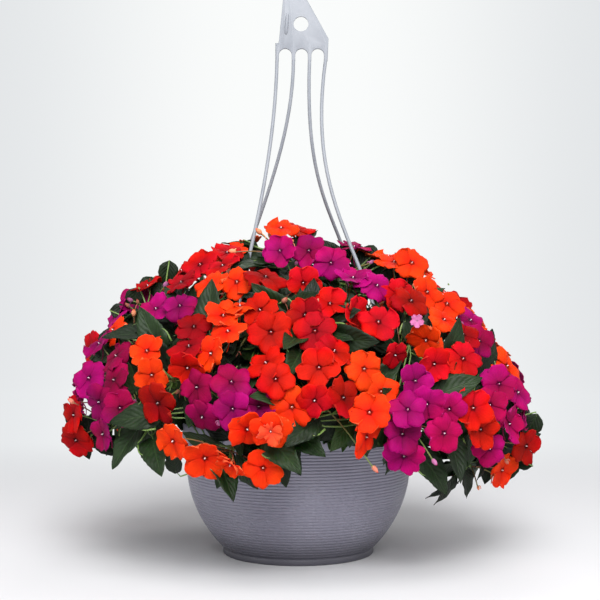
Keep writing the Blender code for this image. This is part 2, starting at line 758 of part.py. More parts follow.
def try_leaf(spray, middle, crowd, sizes=(1.0, 0.86, 0.72)):
    """A leaf from a shoot's knot through a middle point, where one crosses nothing."""
    knot = spray["shoot"][1]
    way = (middle - knot).normalized()
    if len(spray["leaves"]) > 3 or not leaf_fits(spray, way):
        return False
    out = mound_normal(middle)
    for share in sizes:
        half = LEAF_LENGTH * share / 2.0
        stalk = (middle - knot).length - half
        if stalk < 0.012:
            continue
        for roll in (0.0, 25.0, -25.0, 55.0, -55.0):
            up = Matrix.Rotation(math.radians(roll), 3, way) @ (out + Vector((0.0, -0.2, 0.3)))
            if up.cross(way).length < 0.25:
                continue
            leaf = {"root": knot + way * KNOT_BALL, "base": knot + way * stalk,
                    "tip": middle + way * half, "up": up, "width": LEAF_WIDTH * share}
            if crowd.crosses(leaf_shape(leaf), up.normalized() * CLEAR):
                continue
            spray["leaves"].append(leaf)
            if shoot_shape(spray):
                return True
            spray["leaves"].pop()
    return False


def seen_leaves(sprays, crowd):
    """The leaves seen from the front, each rooted on a shoot near it."""
    for pixel in LEAVES_SEEN:
        tries = []
        for sink in (0.004, 0.010, 0.016, 0.022, -0.003):
            middle = sight(pixel, sink + BEHIND_STRAND.get(pixel, 0.0))
            near = sorted(sprays, key=lambda spray: abs((spray["shoot"][1] - middle).length
                                                        - LEAF_LENGTH * 0.8))
            tries += [(spray, middle) for spray in near[:12]]
        for spray, middle in tries:
            if try_leaf(spray, middle, crowd):
                crowd.add(leaf_shape(spray["leaves"][-1]), "leaf")
                break


def other_leaves(draw, sprays, crowd):
    """More leaves, round after round of the shoots, where they reach the mound's surface."""
    for _ in range(4):
        for spray in sprays:
            if sum(len(other["leaves"]) for other in sprays) >= LEAF_COUNT:
                return
            knot = spray["shoot"][1]
            out = mound_normal(knot)
            side, up = frame_of(out, draw.uniform(0.0, 360.0))
            tries = [(turn, tilt) for tilt in (56.0, 72.0, 42.0) for turn in range(0, 360, 30)]
            for turn, tilt in tries:
                around = side * math.cos(math.radians(turn)) + up * math.sin(math.radians(turn))
                way = out * math.cos(math.radians(tilt)) + around * math.sin(math.radians(tilt))
                tip = knot + way * (LEAF_LENGTH + 0.014)
                if math.hypot(tip.x, tip.y) > mound_radius(tip.z) + 0.006:
                    continue
                if try_leaf(spray, knot + way * (LEAF_LENGTH * 0.5 + 0.014), crowd, (1.0, 0.82)):
                    crowd.add(leaf_shape(spray["leaves"][-1]), "leaf")
                    break


def grow():
    """The whole planting: its plants, and its sprays with their blooms, shoots and leaves."""
    draw = random.Random(7)
    plants = plant_places()
    crowd = Crowd()
    for strand in STRANDS:
        crowd.add(strand_shape(strand), "hanger")
        crowd.add(clip_shape(strand), "hanger")
    ring = [Vector((math.cos(turn / 5) * RIM_RADIUS, math.sin(turn / 5) * RIM_RADIUS, 0.168))
            for turn in range(32)]
    crowd.add(rod_shape(ring, [0.008] * len(ring), 6), "pot")
    for index, plant in enumerate(plants):
        crowd.add(core_shape(plant), index)
    sprays = []
    for spray in seen_sprays(draw):
        root_spray(spray, sprays, plants, crowd)
    fill_bare_places(draw, sprays, plants, crowd)
    sprays = place_blooms(sprays, crowd)
    seen_leaves(sprays, crowd)
    other_leaves(draw, sprays, crowd)
    return plants, sprays


def finish_of(name, roughness):
    """A plain material of one of the part's colours."""
    finish = bpy.data.materials.new(name)
    finish.use_nodes = True
    shader = finish.node_tree.nodes["Principled BSDF"]
    shader.inputs["Base Color"].default_value = (*COLOURS[name], 1.0)
    shader.inputs["Roughness"].default_value = roughness
    shader.inputs["Metallic"].default_value = 0.0
    return finish


def add_object(name, shape, finish, where=None):
    """An object made of one shape."""
    mesh = bpy.data.meshes.new(name)
    mesh.from_pydata([tuple(point) for point in shape[0]], [], shape[1])
    mesh.update()
    body = bpy.data.objects.new(name, mesh)
    mesh.materials.append(finish)
    (where or bpy.context.scene.collection).objects.link(body)
    return body


def combine(body, shapes, operation):
    """Join shapes to a body, or cut them from it, in one Boolean, and apply it."""
    others = bpy.data.collections.new(body.name + "_others")
    bpy.context.scene.collection.children.link(others)
    for index, shape in enumerate(shapes):
        add_object("%s_other_%d" % (body.name, index), shape, body.data.materials[0], others)
    step = body.modifiers.new("Combine", "BOOLEAN")
    step.operation = operation
    step.operand_type = "COLLECTION"
    step.collection = others
    step.solver = "EXACT"
    graph = bpy.context.evaluated_depsgraph_get()
    result = bpy.data.meshes.new_from_object(body.evaluated_get(graph))
    body.modifiers.remove(step)
    body.data = result
    for other in list(others.objects):
        bpy.data.objects.remove(other)
    bpy.data.collections.remove(others)


def turned_shape(outline, sides):
    """An outline of (radius, height) turned round the Z axis, from its foot's middle to its end."""
    points = []
    faces = []
    rings = []
    for radius, height in outline:
        rings.append(len(points))
        if radius == 0.0:
            points.append(Vector((0.0, 0.0, height)))
            continue
        for step in range(sides):
            turn = 2.0 * math.pi * step / sides
            points.append(Vector((radius * math.cos(turn), radius * math.sin(turn), height)))
    last = len(rings) - 1
    for index in range(last):
        if index == 0:
            faces += [(rings[0], rings[1] + (step + 1) % sides, rings[1] + step)
                      for step in range(sides)]
        elif index == last - 1:
            faces += [(rings[last], rings[index] + step, rings[index] + (step + 1) % sides)
                      for step in range(sides)]
        else:
            faces += tube_sides(rings[index], rings[index + 1], sides)
    return points, faces


def bowl_line(height):
    """The bowl's outer radius at a height below its rim band: a round foot and a straight side."""
    top = (RIM_RADIUS - RIM_STEP, RIM_TOP - RIM_BAND)
    if height >= BOWL_SHOULDER[1]:
        share = (height - BOWL_SHOULDER[1]) / (top[1] - BOWL_SHOULDER[1])
        return BOWL_SHOULDER[0] + (top[0] - BOWL_SHOULDER[0]) * share
    share = 0.5
    for step in range(2, 20):
        bend = (1 - share) ** 2 * FOOT_HEIGHT + 2 * (1 - share) * share * BOWL_TURN[1]
        share += 0.5 ** step if bend + share ** 2 * BOWL_SHOULDER[1] < height else -0.5 ** step
    return ((1 - share) ** 2 * FOOT_RADIUS + 2 * (1 - share) * share * BOWL_TURN[0]
            + share ** 2 * BOWL_SHOULDER[0])


def inner_line(height):
    """The bowl's inner radius at a height."""
    if height > RIM_TOP - RIM_BAND:
        return RIM_RADIUS - WALL
    return bowl_line(max(height, FOOT_HEIGHT)) - RIB_DEPTH - WALL


def pot_shape():
    """The bowl: a plain foot, ribbed sides, a plain rim band and a smooth inside."""
    band = RIM_TOP - RIM_BAND
    outline = [(0.0, 0.0), (FOOT_RADIUS - 0.001, 0.0), (FOOT_RADIUS, 0.001),
               (FOOT_RADIUS, FOOT_HEIGHT - 0.0005)]
    low = FOOT_HEIGHT + 0.0012
    for rib in range(RIB_COUNT):
        valley = low + (band - low) * rib / RIB_COUNT
        crest = valley + (band - low) / RIB_COUNT / 2.0
        outline.append((bowl_line(valley) - (RIB_DEPTH if rib else 0.0), valley))
        outline.append((bowl_line(crest), crest))
    outline += [(RIM_RADIUS - RIM_STEP - RIB_DEPTH, band), (RIM_RADIUS, band + 0.0006),
                (RIM_RADIUS, RIM_TOP - 0.001), (RIM_RADIUS - 0.001, RIM_TOP),
                (RIM_RADIUS - WALL + 0.0008, RIM_TOP)]
    outline += [(inner_line(height), height) for height in INNER_HEIGHTS]
    outline.append((0.0, FLOOR_TOP))
    return turned_shape(outline, ROUND_SIDES)


def soil_shape():
    """The potting mix: a plug that fills the bowl up to a little under its rim."""
    outline = [(0.0, FLOOR_TOP + SOIL_GAP)]
    for height in (FLOOR_TOP, 0.030, 0.070):
        outline.append((inner_line(height) - SOIL_GAP * 1.6, height + SOIL_GAP))
    outline += [(inner_line(SOIL_TOP) - SOIL_GAP * 1.6, SOIL_TOP), (0.0, SOIL_TOP + 0.003)]
    return turned_shape(outline, ROUND_SIDES)


def hole_shape(place, radius, bottom, top, sides=6):
    """An upright round cutter."""
    low = Vector((place.x, place.y, bottom))
    high = Vector((place.x, place.y, top))
    return rod_shape([low, high], [radius, radius], sides)


def build():
    """Make every object of the part."""
    for old in list(bpy.data.objects):
        bpy.data.objects.remove(old)
    plants, sprays = grow()
    pot = add_object("pot", pot_shape(), finish_of("pot", 0.55))
    drains = []
    for index in range(DRAIN_COUNT):
        turn = 2.0 * math.pi * (index + 0.5) / DRAIN_COUNT
        place = Vector((math.cos(turn), math.sin(turn), 0.0)) * DRAIN_RING
        drains.append(hole_shape(place, DRAIN_RADIUS, -0.01, FLOOR_TOP + 0.01))
    combine(pot, drains, "DIFFERENCE")
    soil = add_object("soil", soil_shape(), finish_of("soil", 0.95))
    holes = [hole_shape(plant[0], STEM_HOLE, STEM_FOOT - 0.0003, SOIL_TOP + 0.02)
             for plant in plants]
    combine(soil, holes, "DIFFERENCE")
    hanger = add_object("hanger", plate_shape(), finish_of("hanger", 0.38))
    shapes = [strand_shape(strand) for strand in STRANDS]
    combine(hanger, shapes + [clip_shape(strand) for strand in STRANDS], "UNION")
    hole = [Vector((PLATE_HOLE[0], -0.01, PLATE_HOLE[1])), Vector((PLATE_HOLE[0], 0.01, PLATE_HOLE[1]))]
    combine(hanger, [rod_shape(hole, [PLATE_HOLE_RADIUS] * 2, 12)], "DIFFERENCE")
    leaf_finish = finish_of("leaf", 0.5)
    for index, plant in enumerate(plants):
        body = add_object("foliage_%d" % (index + 1), core_shape(plant), leaf_finish)
        stem = [plant[0], plant[0] + Vector((0, 0, 0.075)), plant[1]]
        shapes = [rod_shape(stem, [STEM_RADIUS, STEM_RADIUS, STEM_RADIUS * 1.2], 6)]
        shapes += [shoot_shape(spray) for spray in sprays if spray["plant"] == index]
        combine(body, shapes, "UNION")
    finishes = {colour: finish_of(colour, 0.45) for colour in SEEN}
    for spray in sprays:
        add_object(spray["name"], spray_shape(spray), finishes[spray["colour"]])


build()
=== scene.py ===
"""The looks of a busy lizzie in flower, in its ribbed bowl with a moulded hanger.

Every bloom and large leaf is read from the frame, where the solids hold its place, and is grown
again there as a thin petal or blade. The bowl, the soil and the hanger are made again from their
driving dimensions with their fine shape.
"""

import itertools
import math
import random

import bmesh
import bpy
import numpy as np
from mathutils import Matrix, Vector, noise


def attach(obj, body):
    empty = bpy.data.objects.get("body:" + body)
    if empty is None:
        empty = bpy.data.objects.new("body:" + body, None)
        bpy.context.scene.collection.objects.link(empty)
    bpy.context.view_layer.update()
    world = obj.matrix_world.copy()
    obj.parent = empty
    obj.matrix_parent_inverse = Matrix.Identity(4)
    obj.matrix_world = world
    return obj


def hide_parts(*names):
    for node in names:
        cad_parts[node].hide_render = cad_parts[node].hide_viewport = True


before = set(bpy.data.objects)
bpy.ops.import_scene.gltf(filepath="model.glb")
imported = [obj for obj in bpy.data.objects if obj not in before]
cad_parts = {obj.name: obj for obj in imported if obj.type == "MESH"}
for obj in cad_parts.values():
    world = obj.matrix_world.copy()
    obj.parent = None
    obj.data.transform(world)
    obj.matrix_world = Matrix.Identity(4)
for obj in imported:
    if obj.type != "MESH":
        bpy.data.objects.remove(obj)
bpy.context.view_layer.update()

DOWN = Vector((0.0, 0.0, -1.0))

# Bowl
RIM_RADIUS = 0.155
RIM_TOP = 0.174
RIM_BAND = 0.023
RIM_STEP = 0.0012
FOOT_RADIUS = 0.1005
FOOT_HEIGHT = 0.008
WALL = 0.0028
FLOOR_TOP = 0.004
BOWL_TURN = (0.1385, 0.0465)
BOWL_SHOULDER = (0.147, 0.095)
RIB_COUNT = 36
RIB_DEPTH = 0.0011
BOWL_SIDES = 108
INNER_HEIGHTS = (0.1725, 0.1535, 0.149, 0.130, 0.105, 0.080, 0.062, 0.045, 0.030, 0.018, 0.010)
DRAIN_COUNT = 4
DRAIN_RADIUS = 0.006
DRAIN_RING = 0.070

# Soil
SOIL_TOP = 0.150
SOIL_GAP = 0.0016
CRUMB_COUNT = 420

# Plants: each stem's foot, and the dense core of leaves above it
PLANT_RING = 0.140
PLANT_TURN = 6.0
STEM_RING = 0.088
STEM_RADIUS = 0.0065
STEM_FOOT = 0.1106
CORE_OUTER = (0.079, 0.092, 0.062)
CORE_OUTER_HEIGHT = 0.247
CORE_MIDDLE = (0.056, 0.056, 0.090)
CORE_MIDDLE_HEIGHT = 0.272

# Shoots: the knot of leaves on each, below the hub that its blooms' stalks leave
SHOOT_END = 0.0144
KNOT_BALL = 0.0052

# Blooms
PETAL_ROWS = 8
PETAL_COLUMNS = 9
PETAL_THICK = 0.0004
PETAL_WIDTH = 0.57
PETAL_GROWTH = 1.07
PETAL_START = 0.06
RING_TURN = 21.0
STALK_RADIUS = 0.00085
SPUR_LENGTH = 0.030
BUD_LENGTH = 0.0105

# Places read from the picture are pixels, on lines of sight from the eye
EYE = Vector((0.0, -1.700, 0.336))
PIXEL = 0.00134
PICTURE_AXIS = (298.3, 300.0)
NEAR_PIXELS = 10.0
LENS = 76.1
SENSOR_WIDTH = 36.0
SHIFT_ACROSS = 0.0028

# Blooms that the picture shows turned aside: how far to the right and up, and their size
TURNED = {
    (240, 306): (0.0, 2.4, 1.0), (354, 247): (0.3, 2.6, 1.0), (133, 298): (-0.8, 0.2, 1.0),
    (113, 330): (-0.3, 0.2, 1.0), (115, 308): (-0.3, 0.2, 0.95), (89, 378): (-0.3, 0.0, 1.0),
    (231, 463): (-0.9, -1.6, 0.85), (366, 437): (1.4, -0.3, 1.1), (190, 347): (-0.1, 1.5, 1.0),
    (214, 355): (-1.0, 0.2, 0.9), (74, 415): (-0.2, -0.1, 1.05), (76, 440): (0.0, -0.4, 1.05),
    (247, 429): (0.8, -0.6, 1.0), (266, 363): (-0.7, 0.5, 1.0), (188, 369): (0.0, -0.7, 1.0),
    (201, 416): (0.0, -0.9, 1.0), (158, 403): (-0.5, -0.5, 1.1), (472, 318): (0.4, 0.1, 1.0),
    (479, 341): (0.2, 0.0, 1.0), (395, 355): (0.6, -0.7, 0.75), (426, 340): (-0.5, -0.7, 1.0),
    (334, 352): (0.5, 0.6, 1.0), (353, 311): (0.9, -0.2, 1.0), (409, 305): (0.4, 0.2, 1.0),
    (502, 470): (0.0, -0.2, 1.15), (526, 446): (0.0, -0.2, 1.05), (516, 394): (0.2, 0.0, 1.0),
    (522, 414): (0.3, 0.0, 1.0), (281, 228): (0.0, 0.9, 1.0), (297, 230): (0.1, 0.8, 1.0),
    (211, 284): (-0.3, 0.6, 1.0), (148, 286): (-0.5, 0.9, 1.0), (394, 262): (0.3, 0.7, 1.0),
    (343, 398): (0.6, 0.2, 1.0), (313, 401): (-0.4, -0.3, 0.9), (353, 278): (0.2, 1.2, 1.0),
    (228, 333): (-0.4, 0.9, 0.95), (271, 332): (0.0, 0.1, 1.2), (507, 366): (0.1, 0.1, 1.12),
    (473, 408): (0.0, 0.0, 1.12), (263, 468): (0.0, 0.0, 1.0), (156, 309): (0.0, 0.1, 1.1),
    (114, 380): (-0.1, 0.0, 1.1), (266, 279): (0.5, 0.7, 1.15), (205, 458): (0.2, -0.4, 1.05),
}
DOUBLE_BLOOM = (270, 430)

# Buds in the picture, and small leaves that hang over the rim
BUDS_SEEN = {
    (314, 269): "red", (284, 289): "red", (237, 352): "red", (221, 422): "magenta", (312, 357): "red",
    (164, 287): "magenta", (134, 316): "orange", (236, 252): "orange", (261, 234): "orange",
    (74, 403): "red", (432, 459): "magenta", (372, 466): "red", (345, 262): "magenta",
    (457, 330): "orange", (282, 302): "red",
}
RIM_LEAVES_SEEN = (
    (306, 428), (316, 433), (325, 424), (333, 434), (341, 427), (350, 433), (398, 430), (386, 441),
    (246, 446), (280, 440), (292, 446),
)

# The small lilac bloom, and how near in pixels the blooms are that it stands in front of
LILAC_SEEN = (417, 321)
LILAC_NEAR = 22.0

# Leaves that fill the mound behind its blooms. Those above a row stay behind the mound's middle
FILL_LEAVES_SEEN = (
    (357, 258), (370, 264), (384, 270), (350, 250), (366, 254), (376, 270), (402, 284), (392, 276),
    (247, 247),
    (168, 276), (158, 287), (174, 284), (134, 302), (144, 296), (122, 312), (108, 336), (104, 366), (74, 418),
    (74, 434), (90, 438), (102, 444), (84, 444), (426, 438), (416, 446), (174, 460), (498, 458), (520, 460),
    (488, 470), (508, 470), (452, 468), (520, 418), (330, 250), (100, 350), (94, 396), (110, 424), (440, 446),
    (470, 456), (350, 270), (96, 420), (108, 386), (240, 258), (336, 280), (365, 274), (414, 284), (146, 288),
    (181, 296), (242, 266), (530, 428), (116, 446),
)
TOP_ROWS_END = 262

# The mound's outline in the picture: rows of it, with their left and right ends
OUTLINE = (
    (223, 275, 301), (231, 258, 310), (239, 238, 319), (247, 232, 379), (263, 201, 416),
    (279, 141, 426), (295, 123, 441), (311, 111, 462), (327, 102, 478), (343, 89, 485),
    (359, 83, 515), (391, 82, 519), (423, 57, 531), (455, 57, 531),
)

# Leaves
LARGE_LEAF_GRID = (21, 7)
SMALL_LEAF_GRID = (11, 5)
RIM_LEAF_GRID = (13, 5)
RIM_LEAF_DEPTH = -0.158
LEAF_THICK = 0.0005
LEAF_BEND = 0.16
LEAF_GROWTH = 1.06
SMALL_LEAVES = 12
CORE_LEAVES = 40

# Hanger
HANGER_DEPTH = 0.004
STRAND_RADIUS = 0.0024
STRAND_SIDES = 10
STRAND_STEPS = 30
STRAND_TOP = 0.660
ARCH_FOOT = 0.656
ARCH_SPRING = 0.664
CLIP_BOTTOM = 0.158
CLIP_SLOT = 0.1747
CLIP_TOP = 0.182
CLIP_INNER = (0.1476, 0.1508)
CLIP_OUTER = (0.1557, 0.1592)
CLIP_WIDTH = 0.012
STRANDS = (
    (-0.0285, 231.0, -0.02, 0.200, 0.120),
    (-0.0065, 141.0, 0.0, 0.170, 0.180),
    (0.0151, 51.0, -0.04, 0.260, 0.300),
    (0.0368, 321.0, -0.14, 0.230, 0.210),
)
PLATE_HOLE = (0.0036, 0.7058)
PLATE_HOLE_RADIUS = 0.0100
HOOK_CENTRE = (0.0050, 0.7860)
HOOK_INNER = 0.0150
HOOK_OUTER = 0.0245

# Stage
FLOOR_RADIUS = 1.5
BACKDROP_GLOW = 0.970
BACKDROP_EDGE_GLOW = 0.80
STAGE_DEPTH = 1.7
STAGE_SIDES = 96
GLOW_SPAN = (0.03, 0.27)

# What a point of a bloom belongs to, kept in its mark
FACE, BACK, CAP, SPUR, BUD, PALE = range(6)


def on_picture(point):
    """The pixel at which a point shows in the picture."""
    far = (point.y - EYE.y) / -EYE.y * PIXEL
    return PICTURE_AXIS[0] + point.x / far, PICTURE_AXIS[1] - (point.z - EYE.z) / far


def on_sight(pixel, y):
    """The point on a pixel's line of sight at a depth."""
    far = (y - EYE.y) / -EYE.y * PIXEL
    return Vector(((pixel[0] - PICTURE_AXIS[0]) * far, y, EYE.z + (PICTURE_AXIS[1] - pixel[1]) * far))


def pixels_apart(point, pixel):
    """How far a point in front shows from a pixel, and a large number for a point behind."""
    return math.dist(on_picture(point), pixel) if point.y < 0.0 else 1000.0


def beyond_outline(point):
    """How many pixels a point shows beyond the outline that the picture shows."""
    across, down = on_picture(point)
    if down < OUTLINE[0][0]:
        return OUTLINE[0][0] - down
    for above, below in zip(OUTLINE, OUTLINE[1:]):
        if down <= below[0]:
            share = (down - above[0]) / (below[0] - above[0])
            left = above[1] + (below[1] - above[1]) * share
            right = above[2] + (below[2] - above[2]) * share
            return max(left - across, across - right, 0.0)
    return 0.0


def frame_of(axis, roll=0.0):
    """Two directions square to an axis and to each other."""
    other = Vector((0.0, 0.0, 1.0)) if abs(axis.z) < 0.9 else Vector((1.0, 0.0, 0.0))
    side = axis.cross(other).normalized()
    side = Matrix.Rotation(math.radians(roll), 3, axis) @ side
    return side, axis.cross(side).normalized()


def bezier(bends, steps):
    """Points along the curve of four bends."""
    shares = np.linspace(0.0, 1.0, steps)[:, None]
    first, second, third, last = [np.array(bend) for bend in bends]
    return ((1 - shares) ** 3 * first + 3 * (1 - shares) ** 2 * shares * second
            + 3 * (1 - shares) * shares ** 2 * third + shares ** 3 * last)


def spoke(side, up, turn):
    """The way at an angle between two directions."""
    return side * math.cos(turn) + up * math.sin(turn)


def lean(way, facing, amount):
    """A way leant towards a facing, and the direction square to it on the facing's side."""
    leant = (way + facing * amount).normalized()
    return leant, (facing - leant * leant.dot(facing)).normalized()


def new_body(name, points, faces, finish=None):
    """An object made from points and faces."""
    mesh = bpy.data.meshes.new(name)
    mesh.from_pydata(points, [], faces)
    if finish:
        mesh.materials.append(finish)
    body = bpy.data.objects.new(name, mesh)
    bpy.context.scene.collection.objects.link(body)
    return body


def grid_marks(along, across, tone, kind=FACE):
    """The marks of a petal's or a leaf's grid."""
    marks = np.zeros((len(along), across.shape[1], 4))
    marks[..., 0] = along
    marks[..., 1] = (across + 1.0) / 2.0
    marks[..., 2] = tone
    marks[..., 3] = kind
    return marks


class Skin:
    """Points, faces and marks gathered for one object.

    A mark holds four numbers for a point: how far along and across its petal or leaf it is, the
    petal's or leaf's own tone, and what it belongs to.
    """

    def __init__(self):
        self.points = []
        self.faces = []
        self.marks = []
        self.count = 0

    def add(self, points, faces, marks):
        self.points.append(np.asarray(points, float).reshape(-1, 3))
        self.marks.append(np.asarray(marks, float).reshape(-1, 4))
        self.faces += [tuple(index + self.count for index in face) for face in faces]
        self.count += len(self.points[-1])

    def shell(self, grid, thick, marks, under):
        """A thin closed shell round a grid of points, marked differently on its under side."""
        rows, columns = grid.shape[:2]
        along = np.gradient(grid, axis=0)
        across = np.gradient(grid, axis=1)
        out = np.cross(along, across)
        out /= np.maximum(np.linalg.norm(out, axis=2, keepdims=True), 1e-9)
        low_marks = marks.copy()
        low_marks[..., 3] = under
        size = rows * columns
        spot = np.arange(size).reshape(rows, columns)
        faces = []
        for row in range(rows - 1):
            for column in range(columns - 1):
                face = (spot[row, column], spot[row + 1, column],
                        spot[row + 1, column + 1], spot[row, column + 1])
                faces.append(face)
                faces.append(tuple(index + size for index in face[::-1]))
        border = list(spot[:, 0]) + list(spot[-1, 1:]) + list(spot[-2::-1, -1]) + list(spot[0, -2:0:-1])
        for first, second in zip(border, border[1:] + border[:1]):
            faces.append((second, first, first + size, second + size))
        self.add(np.concatenate((grid + out * thick / 2, grid - out * thick / 2)).reshape(-1, 3),
                 faces, np.concatenate((marks, low_marks)).reshape(-1, 4))

    def tube(self, places, radii, sides, mark):
        """A round tube through places, closed at both ends, with its length in its marks."""
        places = np.asarray(places, float)
        along = np.gradient(places, axis=0)
        along /= np.linalg.norm(along, axis=1, keepdims=True)
        side = np.array(frame_of(Vector(along[0]))[0])
        points = []
        marks = []
        for index, (place, way) in enumerate(zip(places, along)):
            side = side - way * side.dot(way)
            side /= np.linalg.norm(side)
            up = np.cross(way, side)
            for step in range(sides):
                turn = 2.0 * math.pi * step / sides
                points.append(place + (side * math.cos(turn) + up * math.sin(turn)) * radii[index])
                marks.append((index / (len(places) - 1), step / sides, mark[0], mark[1]))
        faces = []
        for index in range(len(places) - 1):
            for step in range(sides):
                first = index * sides + step
                second = index * sides + (step + 1) % sides
                faces.append((first, second, second + sides, first + sides))
        faces.append(tuple(reversed(range(sides))))
        faces.append(tuple(range((len(places) - 1) * sides, len(places) * sides)))
        self.add(points, faces, marks)

    def body(self, name, finish=None):
        return new_body(name, np.concatenate(self.points).tolist(), self.faces, finish)

    def piece(self, name, finish, slot, *nodes):
        """The object, riding on the root body, that stands for its nodes."""
        body = self.body(name, finish)
        marks = body.data.attributes.new("marks", "FLOAT_COLOR", "POINT")
        marks.data.foreach_set("color", np.concatenate(self.marks).ravel())
        body.data.shade_smooth()
        return dress(body, slot, *nodes)


def dress(body, slot, *nodes):
    """Let a piece ride on the root body and stand for its nodes, whose solids it hides. The slot is not used.
    """
    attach(body, "root")
    if nodes:
        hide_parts(*nodes)
    return body


def welded(node):
    """A CAD node's mesh with its doubled points joined."""
    mesh = bmesh.new()
    mesh.from_mesh(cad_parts[node].data)
    bmesh.ops.remove_doubles(mesh, verts=mesh.verts, dist=1e-6)
    return mesh


def neighbours(vert):
    return [edge.other_vert(vert) for edge in vert.link_edges]


def read_bloom(middle, ring):
    """A bloom's place, facing, roll, size and root from its middle point and the ring round it."""
    facing = sum((face.normal * face.calc_area() for face in middle.link_faces), Vector()).normalized()
    ring_set = set(ring) | {middle}
    throat = {other for vert in ring for other in neighbours(vert)} - ring_set
    roots = {other for vert in throat for other in neighbours(vert)} - ring_set - throat
    side, up = frame_of(facing)
    flat = sorted((math.hypot((vert.co - middle.co).dot(side), (vert.co - middle.co).dot(up)), vert.index)
                  for vert in ring)
    reach, index = flat[-1]
    furthest = next(vert for vert in ring if vert.index == index)
    turn = math.atan2((furthest.co - middle.co).dot(up), (furthest.co - middle.co).dot(side))
    return {
        "centre": middle.co + facing * 0.0016,
        "facing": facing,
        "roll": math.degrees(turn) + RING_TURN,
        "reach": reach,
        "root": sum((vert.co for vert in roots), Vector()) / len(roots),
    }, ring_set | throat | roots


def read_spray(node):
    """A spray's blooms and the hub that their stalks leave."""
    mesh = welded(node)
    mesh.verts.index_update()
    blooms = []
    taken = set()
    for vert in mesh.verts:
        ring = neighbours(vert)
        if len(ring) != 15 or min((other.co - vert.co).length for other in ring) < 0.008:
            continue
        bloom, verts = read_bloom(vert, ring)
        blooms.append(bloom)
        taken |= verts
    rest = [vert.co.copy() for vert in mesh.verts if vert not in taken]
    hub = sum(rest, Vector()) / len(rest)
    roots = sum((bloom["root"] for bloom in blooms), Vector()) / len(blooms)
    axis = (rest[1] - rest[0]).cross(rest[2] - rest[0]).normalized()
    axis *= 1.0 if axis.dot(roots - hub) > 0.0 else -1.0
    mesh.free()
    return {"node": node, "colour": node.split("_")[1], "blooms": blooms, "hub": hub, "axis": axis,
            "knot": hub - axis * SHOOT_END, "plant": nearest_plant(hub)}


def straight_on(vert, before):
    """The neighbour of a point that continues the way from the point before it."""
    way = (vert.co - before.co).normalized()
    others = [other for other in neighbours(vert) if other is not before]
    return max(others, key=lambda other: (other.co - vert.co).normalized().dot(way))


def read_leaves(node):
    """A plant's large leaves, each found by its tip, where both faces' midribs end 1.5 mm apart.

    The test also passes about four other points of each leaf. It finds 354 leaves where the solids
    have 72: those 72 are 48 to 66 mm long, and the 282 false ones are 21 to 35 mm long.
    """
    mesh = welded(node)
    leaves = []
    for tip in mesh.verts:
        near = neighbours(tip)
        if len(near) != 4:
            continue
        for first, second in itertools.combinations(near, 2):
            gap = (first.co - second.co).length
            if not 0.0012 < gap < 0.0018 or (first.co - tip.co).length < 0.010:
                continue
            middle = straight_on(first, tip)
            ridge = straight_on(middle, first)
            below = straight_on(straight_on(second, tip), second)
            root = straight_on(ridge, middle)
            base = (ridge.co + below.co) / 2.0
            up = (ridge.co - below.co).normalized()
            up *= -1.0 if (tip.co - base).dot(up) > 0.0 else 1.0
            length = (tip.co - base).length / math.hypot(1.0, LEAF_BEND)
            axis = (tip.co - base + up * LEAF_BEND * length).normalized()
            edge = (other.co - base for other in neighbours(middle))
            half = max((away - axis * away.dot(axis)).length for away in edge)
            leaves.append({"root": root.co - axis * KNOT_BALL, "base": base, "axis": axis, "up": up,
                           "length": length, "width": half * 2.0})
            break
    mesh.free()
    return leaves


def plant_places():
    """Each plant: its stem's foot, its core's centre, and its core's half sizes and turn."""
    places = [(Vector((0.0, 0.0, STEM_FOOT)), Vector((0.0, 0.0, CORE_MIDDLE_HEIGHT)), CORE_MIDDLE, 0.0)]
    for quarter in range(4):
        turn = math.radians(PLANT_TURN + 90.0 * quarter)
        way = Vector((math.cos(turn), math.sin(turn), 0.0))
        foot = way * STEM_RING + Vector((0.0, 0.0, STEM_FOOT))
        centre = way * PLANT_RING + Vector((0.0, 0.0, CORE_OUTER_HEIGHT))
        places.append((foot, centre, CORE_OUTER, turn))
    return places


def core_surface(plant, target):
    """Where the line from a plant's core to a point leaves the core."""
    centre, sizes, turn = plant[1:]
    way = Matrix.Rotation(-turn, 3, "Z") @ (target - centre)
    share = math.sqrt(sum((part / size) ** 2 for part, size in zip(way, sizes)))
    return centre + (target - centre) / max(share, 1.0)


def nearest_plant(point):
    """The plant whose core is nearest to a point."""
    return min(range(len(PLANTS)), key=lambda index: (core_surface(PLANTS[index], point) - point).length)


PLANTS = plant_places()


